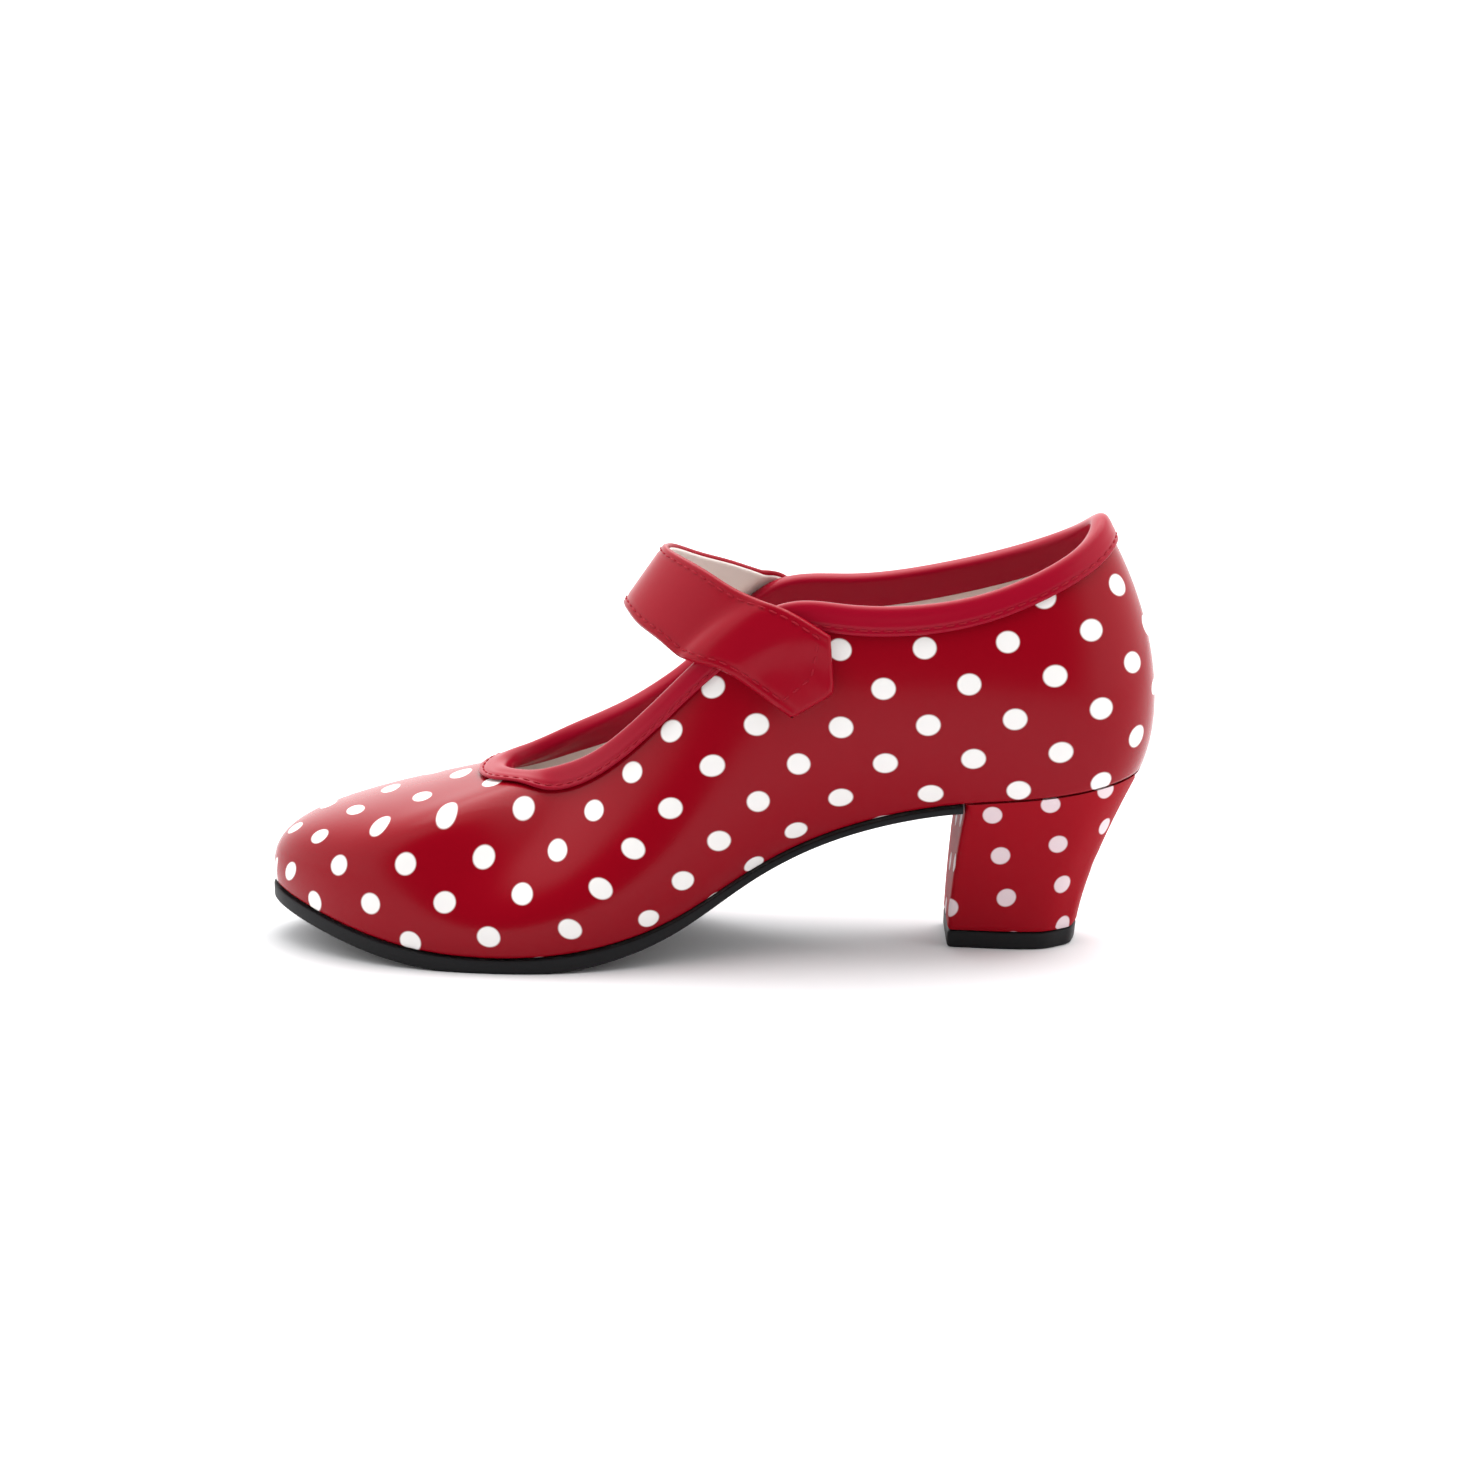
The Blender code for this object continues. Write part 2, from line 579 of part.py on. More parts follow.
def lay_on_quarter(points, laid):
    """Keeps the strap's outer face clear of what it crosses. Over the collar it rides on the fold of the
    binding as on a rod. Below the topline it stays its own thickness off the quarter and the binding's
    flap, and where laid is 1 it is drawn in to that distance. A point that would have to move by more
    than the rod's width faces the inside of the shoe and stays."""
    tree, below = quarter_tree()
    binding = GAP + BINDING_THICKNESS
    rod = WALL / 2.0 + binding + STRAP_CLEARANCE + STRAP_THICKNESS
    placed = points.copy()
    for place in np.ndindex(*laid.shape):
        point = Vector(points[place])
        nearest, normal, face, _ = tree.find_nearest(point)
        if normal.y * nearest.y < 0.0:
            normal = -normal
        if below[face] < TOPLINE_REACH:
            centre = nearest - normal * WALL / 2.0
            away = point - centre
            if away.length < rod:
                placed[place] = centre + away.normalized() * rod
            continue
        over_binding = 1.0 - smooth_step(below[face] / BINDING_DEPTH - STRAP_SETTLES)
        height = STRAP_THICKNESS + STRAP_CLEARANCE + binding * over_binding
        move = height - (point - nearest).dot(normal)
        if move > rod * 2.0:
            continue
        placed[place] += np.array(normal) * (move if move > 0.0 else move * laid[place])
    return placed


def add_strap(collection):
    """The strap is a band between its two edges, with a blunt point at its fastened end."""
    table = np.array([fold[1:] for fold in STRAP_FOLDS])
    crossed = next(section for section in SECTIONS if section.name == "outer strap")
    collar_x = float(x_at(crossed.top_along))
    depth = float(between(crossed.top_along, COLLAR_DEPTH, THROAT_DEPTH))
    collar = bottom_height(collar_x) + depth * crossed.top_depth
    side = table[:, 4] * COLLAR_WIDTH / 2.0
    rear = np.column_stack([collar_x + table[:, 0] * STRAP_WIDTH, side, collar + table[:, 1] * STRAP_WIDTH])
    front = np.column_stack([collar_x + table[:, 2] * STRAP_WIDTH, side, collar + table[:, 3] * STRAP_WIDTH])
    middle = (rear + front) / 2.0
    steps = np.linalg.norm(np.diff(middle, axis=0), axis=1)
    knots = np.concatenate([[0.0], np.cumsum(steps)])
    at = np.linspace(0.0, knots[-1], STRAP_STEPS)
    rear, front = spline(knots, rear, at), spline(knots, front, at)
    laid = np.interp(at, knots, table[:, 5])
    across = np.linspace(0.0, 1.0, STRAP_COLUMNS)
    points = rear[:, None] * (1.0 - across[None, :, None]) + front[:, None] * across[None, :, None]
    end = points[0].mean(axis=0) - points[1].mean(axis=0)
    end /= np.linalg.norm(end)
    point = STRAP_POINT * (1.0 - np.abs(2.0 * across - 1.0))
    stretch = np.clip(1.0 - at / knots[1], 0.0, 1.0)
    points += end * (point[None, :] * stretch[:, None])[..., None]
    points = lay_on_quarter(points, np.broadcast_to(laid[:, None], points.shape[:2]))
    faces = ring_faces(STRAP_STEPS, STRAP_COLUMNS, closed=False)
    piece = add_piece(collection, "strap", points.reshape(-1, 3), faces)
    face_outwards(piece)
    band = piece.modifiers.new("band", "SOLIDIFY")
    band.thickness = STRAP_THICKNESS
    band.offset = -1.0
    return piece


def main():
    clear_scene()
    collection = bpy.data.collections.new("flamenco_shoe")
    bpy.context.scene.collection.children.link(collection)
    add_upper(collection)
    add_outsole(collection)
    add_insole(collection)
    add_binding(collection)
    add_heel(collection)
    add_heel_top_piece(collection)
    add_strap(collection)


main()
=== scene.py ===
"""Dresses the left flamenco shoe: dotted upper, bound collar, instep strap, covered heel and soles, and
sets the stage for its picture. The shapes come from the same last as the solids."""

import json
from collections import namedtuple

import bmesh
import bpy
import numpy as np
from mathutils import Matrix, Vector

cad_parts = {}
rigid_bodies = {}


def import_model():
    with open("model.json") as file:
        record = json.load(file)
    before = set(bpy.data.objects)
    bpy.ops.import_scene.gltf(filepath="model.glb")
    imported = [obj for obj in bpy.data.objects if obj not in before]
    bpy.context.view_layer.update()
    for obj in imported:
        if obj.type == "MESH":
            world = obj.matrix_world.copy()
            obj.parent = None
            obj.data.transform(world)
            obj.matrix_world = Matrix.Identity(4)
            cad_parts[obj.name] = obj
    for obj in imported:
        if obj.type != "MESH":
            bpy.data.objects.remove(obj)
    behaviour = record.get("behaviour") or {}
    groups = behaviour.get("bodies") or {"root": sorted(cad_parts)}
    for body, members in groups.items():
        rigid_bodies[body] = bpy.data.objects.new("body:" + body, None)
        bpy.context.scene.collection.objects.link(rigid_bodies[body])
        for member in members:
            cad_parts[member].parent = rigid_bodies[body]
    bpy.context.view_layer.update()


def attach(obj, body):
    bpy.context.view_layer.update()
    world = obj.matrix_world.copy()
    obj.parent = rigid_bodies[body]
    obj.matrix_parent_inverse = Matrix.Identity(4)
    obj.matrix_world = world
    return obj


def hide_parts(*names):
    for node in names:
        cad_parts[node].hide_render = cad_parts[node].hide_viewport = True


bl_info = {
    "name": "Flamenco Shoe Dressing",
    "version": (1, 0, 0),
    "blender": (4, 2, 0),
    "location": "View3D > Sidebar > Shoe",
    "description": "Leather, binding, strap, stitches and soles for a left flamenco shoe",
    "category": "Object",
}

for leftover in list(bpy.data.objects):
    bpy.data.objects.remove(leftover, do_unlink=True)
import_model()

# The last, in metres
LENGTH = 0.2066
COUNTER_OVERHANG = 0.0339
BALL_WIDTH = 0.0712
SEAT_WIDTH = 0.0444
HEEL_HEIGHT = 0.0360
TOE_SPRING = 0.0093
COLLAR_WIDTH = 0.0480
COLLAR_DEPTH = 0.0596
THROAT_DEPTH = 0.0380

# Walls and layers
GAP = 0.0003
WALL = 0.0018
OUTSOLE_THICKNESS = 0.0030
OUTSOLE_WAIST = 0.0012
BALL_FLAT_DEPTH = 0.0005
OUTSOLE_MARGIN = 0.0006
OUTSOLE_EDGE_ROUND = 0.0007
INSOLE_THICKNESS = 0.0025
INSOLE_CLEARANCE = 0.0006

# Collar binding, folded over the topline
BINDING_THICKNESS = 0.0009
BINDING_DEPTH = 0.0057
BINDING_INSIDE_DEPTH = 0.0068

# Heel block and its top piece
HEEL_FRONT = 0.0140
HEEL_BACK = 0.0165
HEEL_BOTTOM_WIDTH = 0.0262
HEEL_FLARE = 1.60
TOP_PIECE_THICKNESS = 0.0040

# Strap
STRAP_WIDTH = 0.0200
STRAP_THICKNESS = 0.0020
STRAP_POINT = 0.0062
STRAP_CLEARANCE = 0.0007
TOPLINE_REACH = 0.0025

# How far below the topline the strap starts to come down off the binding, as a share of BINDING_DEPTH
STRAP_SETTLES = 1.3

# Where the length changes from seat sizes to ball sizes, as shares of LENGTH
WAIST_STARTS = 0.35
BALL_STARTS = 0.65
BREAST_ALONG = 0.2145

# Fineness of the surfaces
RING_STEPS = 352
WALL_STEPS = 72
INSIDE_STEPS = 24
CLOTH_RING = 88
CLOTH_WALL = 16
SOLE_STATIONS = 120
SOLE_COLUMNS = 17
HEEL_STATIONS = 40
HEEL_LEVELS = 48
BREAST_COLUMNS = 20
STRAP_STEPS = 240
STRAP_COLUMNS = 33
LAY_STEPS = 80
LAY_COLUMNS = 9
FOLD_STEPS = 64
SEARCH_STEPS = 60
MERGE = 1e-6
SHARP_ANGLE = 0.7

# Direction from the shoe to the middle of the dark side of the room
DARK_SIDE = (0.0, -0.94, 0.34)

# Layers of the dressed shoe, as offsets from the outer face of the upper
LEATHER_INNER = -0.0011
LINING_OUTER = -0.00115
FOOT_ROUND = 0.0007
STRAP_LINING = 0.0006
SOCK_CLEARANCE = 0.00012
SEAT_GAP = 0.0001

# The cloth of the upper lies level along the side of the shoe, and drawn out over the last in front
CLOTH_FRONT_SLOPE = 0.11
CLOTH_TOE_SLOPE = -0.138
CLOTH_BACK_SLOPE = 0.084
CLOTH_SHEAR = 0.20
CLOTH_FRONT_STRETCH = 0.084
CLOTH_TOE_STRETCH = 0.119
CLOTH_ACROSS_STRETCH = 1.10
CLOTH_SOFTENING = 4
CLOTH_TURNS_AT = 0.858
DOTS_ALONG = 4.003
DOTS_ACROSS = 0.135
HEEL_DOTS_TILT = 0.24
HEEL_DOTS_AT = (1.88, 2.25)

# The bottom of the last, from the seat to the toe. Along is a share of LENGTH from the back. Heel is a
# share of the rise to the breast, and toe a share of TOE_SPRING.
Level = namedtuple("Level", "along heel toe")
BOTTOM_LEVELS = [
    Level(0.000, 1.190, 0.00),
    Level(0.120, 1.060, 0.00),
    Level(0.221, 1.000, 0.00),
    Level(0.300, 0.900, 0.00),
    Level(0.375, 0.742, 0.00),
    Level(0.455, 0.500, 0.00),
    Level(0.530, 0.235, 0.00),
    Level(0.600, 0.085, 0.00),
    Level(0.667, 0.018, 0.00),
    Level(0.735, 0.000, 0.00),
    Level(0.800, 0.000, 0.06),
    Level(0.870, 0.000, 0.30),
    Level(0.940, 0.000, 0.69),
    Level(1.000, 0.000, 1.02),
]

# The upper, once around the last. Foot is where a section leaves the sole, top is where it ends at the
# topline. Along is a share of LENGTH, foot_side of half the last's width there, top_side of half
# COLLAR_WIDTH, and top_depth of the depth of the upper there. Bulge and rise say how the wall leaves the
# sole, reach and drop how it comes to the topline, bulge and reach as shares of the half width, rise and
# drop as shares of the depth.
Section = namedtuple(
    "Section", "name foot_along foot_side top_along top_side top_depth bulge rise reach drop"
)
SECTIONS = [
    Section("back", 0.014, 0.00, 0.063, 0.00, 1.000, 0.29, 0.24, 0.54, 0.32),
    Section("outer back", 0.045, -0.72, 0.087, -0.53, 0.930, 0.27, 0.23, 0.40, 0.30),
    Section("outer seat", 0.125, -0.97, 0.159, -0.83, 0.832, 0.26, 0.24, 0.31, 0.30),
    Section("outer quarter", 0.232, -0.90, 0.251, -0.94, 0.789, 0.38, 0.24, 0.20, 0.30),
    Section("outer waist", 0.348, -0.76, 0.348, -0.98, 0.876, 0.62, 0.25, 0.20, 0.28),
    Section("outer strap", 0.445, -0.73, 0.420, -1.00, 1.033, 0.60, 0.27, 0.20, 0.28),
    Section("outer shank", 0.513, -0.82, 0.484, -1.01, 1.148, 0.42, 0.30, 0.18, 0.34),
    Section("outer instep", 0.580, -0.91, 0.549, -0.94, 1.186, 0.28, 0.33, 0.17, 0.45),
    Section("outer ball", 0.667, -0.99, 0.614, -0.77, 1.105, 0.20, 0.38, 0.20, 0.46),
    Section("outer toe root", 0.764, -0.97, 0.663, -0.54, 1.016, 0.16, 0.42, 0.31, 0.45),
    Section("outer toe", 0.871, -0.77, 0.699, -0.38, 0.970, 0.13, 0.50, 0.79, 0.14),
    Section("outer tip", 0.955, -0.40, 0.727, -0.20, 0.965, 0.11, 0.46, 1.04, 0.20),
    Section("tip", 0.996, 0.085, 0.735, 0.06, 0.965, 0.09, 0.43, 1.18, 0.24),
    Section("inner tip", 0.953, 0.52, 0.730, 0.31, 0.990, 0.11, 0.44, 1.00, 0.26),
    Section("inner toe", 0.866, 0.79, 0.703, 0.53, 1.025, 0.13, 0.44, 0.62, 0.29),
    Section("inner toe root", 0.764, 0.92, 0.657, 0.65, 1.110, 0.15, 0.42, 0.40, 0.34),
    Section("inner ball", 0.658, 0.88, 0.602, 0.80, 1.137, 0.19, 0.40, 0.28, 0.38),
    Section("inner instep", 0.561, 0.76, 0.554, 0.94, 1.098, 0.27, 0.34, 0.27, 0.34),
    Section("inner shank", 0.474, 0.67, 0.503, 1.01, 1.062, 0.42, 0.29, 0.20, 0.32),
    Section("inner strap", 0.392, 0.66, 0.435, 1.01, 1.026, 0.55, 0.27, 0.20, 0.28),
    Section("inner waist", 0.300, 0.74, 0.343, 1.00, 0.859, 0.52, 0.25, 0.18, 0.28),
    Section("inner quarter", 0.203, 0.90, 0.242, 0.925, 0.816, 0.34, 0.24, 0.20, 0.30),
    Section("inner seat", 0.116, 0.94, 0.154, 0.80, 0.863, 0.25, 0.25, 0.31, 0.30),
    Section("inner back", 0.043, 0.67, 0.087, 0.52, 0.938, 0.27, 0.23, 0.40, 0.30),
]

# The strap, from its point on the outer quarter over the instep to its sewn end on the inner quarter.
# Rear and front are its two edges: along towards the heel and up, as shares of STRAP_WIDTH, from the outer
# collar where the strap crosses it. Side is a share of half COLLAR_WIDTH. Laid is 1 where the strap lies
# on the quarter and 0 where it is free.
Fold = namedtuple("Fold", "name rear_along rear_up front_along front_up side laid")
STRAP_FOLDS = [
    Fold("shoulders", 0.565, -0.248, 0.13, -1.183, -1.25, 1.0),
    Fold("fastening", 0.27, -0.068, -0.325, -0.863, -1.19, 1.0),
    Fold("outer collar", -0.075, 0.087, -0.77, -0.623, -1.125, 1.0),
    Fold("outer slope", -0.455, 0.205, -1.085, -0.583, -0.98, 0.0),
    Fold("outer rise", -0.81, 0.38, -1.39, -0.40, -0.78, 0.0),
    Fold("outer instep", -1.095, 0.495, -1.655, -0.255, -0.52, 0.0),
    Fold("outer crest", -1.28, 0.55, -1.79, -0.155, -0.26, 0.0),
    Fold("crest", -1.345, 0.57, -1.84, -0.133, 0.00, 0.0),
    Fold("inner crest", -1.265, 0.53, -1.77, -0.173, 0.27, 0.0),
    Fold("inner instep", -1.00, 0.39, -1.52, -0.323, 0.54, 0.0),
    Fold("inner rise", -0.62, 0.235, -1.155, -0.463, 0.80, 0.0),
    Fold("inner slope", -0.26, 0.085, -0.83, -0.633, 0.98, 0.0),
    Fold("inner collar", 0.075, -0.053, -0.525, -0.823, 1.12, 1.0),
    Fold("inner quarter", 0.33, -0.233, -0.24, -1.033, 1.17, 1.0),
    Fold("sewn end", 0.58, -0.433, 0.02, -1.223, 1.20, 1.0),
]

# The outline of the heel's bottom, from the breast to the back. Along is a share of its length and side
# of its half width.
Plan = namedtuple("Plan", "along side")
HEEL_PLAN = [
    Plan(0.00, 0.84),
    Plan(0.18, 0.90),
    Plan(0.40, 0.975),
    Plan(0.60, 1.00),
    Plan(0.78, 0.90),
    Plan(0.90, 0.68),
    Plan(0.97, 0.38),
    Plan(1.00, 0.00),
]

# The section of the collar binding: depth below the topline and distance out from the upper, in
# millimetres, once around from the lower edge of the outer flap over the fold to the inner flap.
BINDING_SECTION = [
    (5.72, 0.75),
    (5.45, 1.14),
    (4.90, 1.16),
    (4.50, 0.98),
    (4.08, 1.17),
    (3.00, 1.30),
    (1.80, 1.40),
    (0.60, 1.42),
    (-0.55, 1.08),
    (-1.14, 0.20),
    (-1.26, -0.90),
    (-1.14, -2.00),
    (-0.55, -2.86),
    (0.60, -3.12),
    (2.50, -3.10),
    (5.50, -3.02),
    (6.66, -2.86),
    (6.80, -2.55),
    (6.55, -2.22),
    (3.50, -2.12),
    (0.60, -2.10),
    (-0.26, -1.86),
    (-0.34, -0.90),
    (-0.26, 0.08),
    (0.60, 0.30),
    (3.00, 0.30),
    (5.30, 0.36),
]

# Soft creases of the upper. Around and up are shares once around the last and up the wall, for both
# ends; width and depth are in metres, and a negative depth is a ridge.
Crease = namedtuple("Crease", "around_start up_start around_end up_end width depth")
CREASES = [
    Crease(0.30, 0.30, 0.36, 0.66, 0.0060, 0.00008),
    Crease(0.16, 0.20, 0.20, 0.55, 0.0070, 0.00008),
    Crease(0.70, 0.30, 0.66, 0.62, 0.0060, 0.00008),
    Crease(0.83, 0.22, 0.80, 0.55, 0.0070, 0.00008),
]


def smooth_step(value):
    """0 below 0, 1 above 1, and a soft S between."""
    value = np.clip(value, 0.0, 1.0)
    return value * value * (3.0 - 2.0 * value)


def spline(knots, values, at, period=None):
    """Cubic spline through the values at the knots, natural at its ends, or closed over the period."""
    knots = np.asarray(knots, float)
    values = np.asarray(values, float)
    closed = period is not None
    if closed:
        knots = np.append(knots, knots[0] + period)
        values = np.concatenate([values, values[:1]])
        at = knots[0] + np.mod(np.asarray(at, float) - knots[0], period)
    count = len(knots)
    step = np.diff(knots)
    slope = np.diff(values, axis=0) / step.reshape(-1, *[1] * (values.ndim - 1))
    matrix = np.eye(count)
    target = np.zeros_like(values)
    for row in range(1, count - 1):
        matrix[row, row - 1 : row + 2] = step[row - 1], 2.0 * (step[row - 1] + step[row]), step[row]
        target[row] = 6.0 * (slope[row] - slope[row - 1])
    if closed:
        matrix[0, -1] = -1.0
        matrix[-1] = 0.0
        matrix[-1, [0, 1]] = 2.0 * step[0], step[0]
        matrix[-1, [-2, -1]] += step[-1], 2.0 * step[-1]
        target[-1] = 6.0 * (slope[0] - slope[-1])
    bend = np.linalg.solve(matrix, target.reshape(count, -1)).reshape(values.shape)
    at = np.asarray(at, float)
    left = np.clip(np.searchsorted(knots, at, side="right") - 1, 0, count - 2)
    shape = at.shape + (1,) * (values.ndim - 1)
    width = step[left].reshape(shape)
    b = (at - knots[left]).reshape(shape) / width
    a = 1.0 - b
    curve = ((a**3 - a) * bend[left] + (b**3 - b) * bend[left + 1]) * width**2 / 6.0
    return a * values[left] + b * values[left + 1] + curve


def x_at(along):
    return COUNTER_OVERHANG - np.asarray(along) * LENGTH


def between(along, at_seat, at_ball):
    """A size that changes from its value at the seat to its value at the ball through the waist."""
    share = smooth_step((np.asarray(along) - WAIST_STARTS) / (BALL_STARTS - WAIST_STARTS))
    return at_seat + (at_ball - at_seat) * share


def bottom_height(x):
    """Height of the feather line, where the upper meets the sole, at each x."""
    ball = OUTSOLE_THICKNESS + GAP
    levels = np.array(BOTTOM_LEVELS)
    heights = ball + (HEEL_HEIGHT - ball) * levels[:, 1] + TOE_SPRING * levels[:, 2]
    along = (COUNTER_OVERHANG - np.asarray(x)) / LENGTH
    return spline(levels[:, 0], heights, np.clip(along, 0.0, 1.0))


def last_ring(steps):
    """The sections spread evenly once around the feather line, as arrays by name."""
    table = np.array([section[1:] for section in SECTIONS])
    foot = np.stack(
        [x_at(table[:, 0]), table[:, 1] * between(table[:, 0], SEAT_WIDTH, BALL_WIDTH) / 2.0], axis=1
    )
    half = between(table[:, 0], SEAT_WIDTH, BALL_WIDTH) / 2.0
    depth = between(table[:, 2], COLLAR_DEPTH, THROAT_DEPTH)
    columns = np.column_stack(
        [
            foot,
            x_at(table[:, 2]),
            table[:, 3] * COLLAR_WIDTH / 2.0,
            bottom_height(x_at(table[:, 2])) + table[:, 4] * depth,
            table[:, 5] * half,
            table[:, 6] * depth,
            table[:, 7] * half,
            table[:, 8] * depth,
        ]
    )
    chords = np.linalg.norm(np.roll(foot, -1, axis=0) - foot, axis=1)
    knots = np.concatenate([[0.0], np.cumsum(chords)[:-1]])
    around = np.arange(steps) / steps * chords.sum()
    values = spline(knots, columns, around, period=chords.sum())
    names = ("foot_x", "foot_y", "top_x", "top_y", "top_z", "bulge", "rise", "reach", "drop")
    ring = dict(zip(names, values.T))
    ahead = np.roll(values[:, :2], -1, axis=0) - np.roll(values[:, :2], 1, axis=0)
    ahead /= np.linalg.norm(ahead, axis=1, keepdims=True)
    ring["out"] = np.stack([ahead[:, 1], -ahead[:, 0]], axis=1)
    if ring["out"][0, 0] < 0.0:
        ring["out"] = -ring["out"]
    return ring


def upper_surface(ring, shares):
    """The outer face of the upper: a Bezier curve from foot to topline for each place around the last.
    Points come as an array of places around, shares up the wall, and x, y, z."""
    foot = np.column_stack([ring["foot_x"], ring["foot_y"], bottom_height(ring["foot_x"])])
    top = np.column_stack([ring["top_x"], ring["top_y"], ring["top_z"]])
    out = np.column_stack([ring["out"], np.zeros(len(foot))])
    up = np.array([0.0, 0.0, 1.0])
    low = foot + out * ring["bulge"][:, None] + up * ring["rise"][:, None]
    high = top + out * ring["reach"][:, None] - up * ring["drop"][:, None]
    t = np.asarray(shares)[None, :, None]
    return (
        (1 - t) ** 3 * foot[:, None]
        + 3 * (1 - t) ** 2 * t * low[:, None]
        + 3 * (1 - t) * t**2 * high[:, None]
        + t**3 * top[:, None]
    )


def topline_bands(ring, depths):
    """Points of the upper's outer face at depths below the topline, measured along the wall, with the
    outward normal and the direction up the wall at each. Negative depths run on past the topline."""
    shares = np.linspace(0.0, 1.0, SEARCH_STEPS)
    wall = upper_surface(ring, shares)
    lengths = np.linalg.norm(np.diff(wall, axis=1), axis=2)
    below = np.concatenate([np.cumsum(lengths[:, ::-1], axis=1)[:, ::-1], np.zeros((len(wall), 1))], axis=1)
    depths = np.asarray(depths, float)
    held = np.maximum(depths, 0.0)
    share = np.stack([np.interp(held, row[::-1], shares[::-1]) for row in below])
    place = share * (len(shares) - 1)
    left = np.clip(place.astype(int), 0, len(shares) - 2)
    part = (place - left)[..., None]
    rows = np.arange(len(wall))[:, None]
    points = wall[rows, left] * (1 - part) + wall[rows, left + 1] * part
    up = wall[rows, left + 1] - wall[rows, left]
    up /= np.linalg.norm(up, axis=2, keepdims=True)
    ahead = np.roll(points, -1, axis=0) - np.roll(points, 1, axis=0)
    normal = np.cross(ahead, up)
    normal /= np.linalg.norm(normal, axis=2, keepdims=True)
    outwards = np.column_stack([ring["out"], np.zeros(len(wall))])
    normal *= np.sign(np.einsum("ik,ik->i", normal[:, 0], outwards))[:, None, None]
    points = points - up * np.minimum(depths, 0.0)[None, :, None]
    return points, normal, up


def outline(offset, steps=1440):
    """The feather line moved outwards by offset: its two branches from back to tip, each as x and y."""
    ring = last_ring(steps)
    x = ring["foot_x"] + ring["out"][:, 0] * offset
    y = ring["foot_y"] + ring["out"][:, 1] * offset
    back = int(np.argmax(x))
    x, y = np.roll(x, -back), np.roll(y, -back)
    tip = int(np.argmin(x))
    outer = x[: tip + 1], y[: tip + 1]
    inner = np.append(x[tip:], x[0])[::-1], np.append(y[tip:], y[0])[::-1]
    return outer, inner


def side_at(branch, x):
    """Where a branch of an outline crosses each x. Its x falls from back to tip."""
    return np.interp(-np.asarray(x), -branch[0], branch[1])


def heel_sections(share):
    """The heel's outline at shares of its height, 0 at the floor and 1 at the seat: for each share and
    station, from the breast to the back, x and the outer and inner y."""
    stations = np.sin(np.linspace(0.0, np.pi / 2.0, HEEL_STATIONS))
    plan = np.array(HEEL_PLAN)
    side = np.maximum(spline(plan[:, 0], plan[:, 1], stations), 0.0) * HEEL_BOTTOM_WIDTH / 2.0
    side[-1] = 0.0
    low_x = -HEEL_FRONT + (HEEL_FRONT + HEEL_BACK) * stations
    outer, inner = outline(0.0)
    breast = float(x_at(BREAST_ALONG))
    high_x = breast + (outer[0][0] - breast) * stations
    high_outer, high_inner = side_at(outer, high_x), side_at(inner, high_x)
    share = np.asarray(share)[:, None]
    spread = share**HEEL_FLARE
    x = low_x + (high_x - low_x) * spread
    return x, -side + (high_outer + side) * spread, side + (high_inner - side) * spread


def unit(vectors):
    """The vectors at length one."""
    return vectors / np.linalg.norm(vectors, axis=-1, keepdims=True)


def sheet_normals(points, out):
    """Outward unit normals of a sheet once around the last, from its steps around and up the wall."""
    around = np.roll(points, -1, axis=0) - np.roll(points, 1, axis=0)
    normal = unit(np.cross(around, np.gradient(points, axis=1)))
    middle = normal[:, points.shape[1] // 2, :2]
    return normal * np.sign(np.einsum("ik,ik->i", middle, out))[:, None, None]


def closed_ring(values):
    """The rows with the first one again at the end, so that a ring of them closes."""
    return np.concatenate([values, values[:1]])


def wall_lengths(wall):
    """Length along the wall from the foot to each point of it."""
    steps = np.linalg.norm(np.diff(wall, axis=1), axis=2)
    return np.concatenate([np.zeros((len(wall), 1)), np.cumsum(steps, axis=1)], axis=1)


def crease_depth(wall, around, shares):
    """How far the creases sink each point: a bell across the line of each crease, that fades towards its
    ends."""
    sunk = np.zeros(wall.shape[:2])
    for crease in CREASES:
        ends = []
        for place, up in ((crease.around_start, crease.up_start), (crease.around_end, crease.up_end)):
            row = int(np.argmin(np.abs(around - place)))
            column = int(np.argmin(np.abs(shares - up)))
            ends.append(wall[row, column])
        start, run = ends[0], ends[1] - ends[0]
        share = (wall - start) @ run / (run @ run)
        away = np.linalg.norm(wall - start - np.clip(share, 0.0, 1.0)[..., None] * run, axis=-1)
        fade = smooth_step(share * 2.5 + 0.6) * smooth_step((1.0 - share) * 2.5 + 0.6)
        sunk += crease.depth * fade * np.exp(-((away / crease.width) ** 2))
    return sunk


def softened(values, times):
    """Rows of values averaged a few times with the rows beside them, the ends continued straight on."""
    for _ in range(times):
        before, after = 2.0 * values[:1] - values[1:2], 2.0 * values[-1:] - values[-2:-1]
        padded = np.concatenate([before, values, after])
        values = (padded[:-2] + 2.0 * values + padded[2:]) / 4.0
    return values


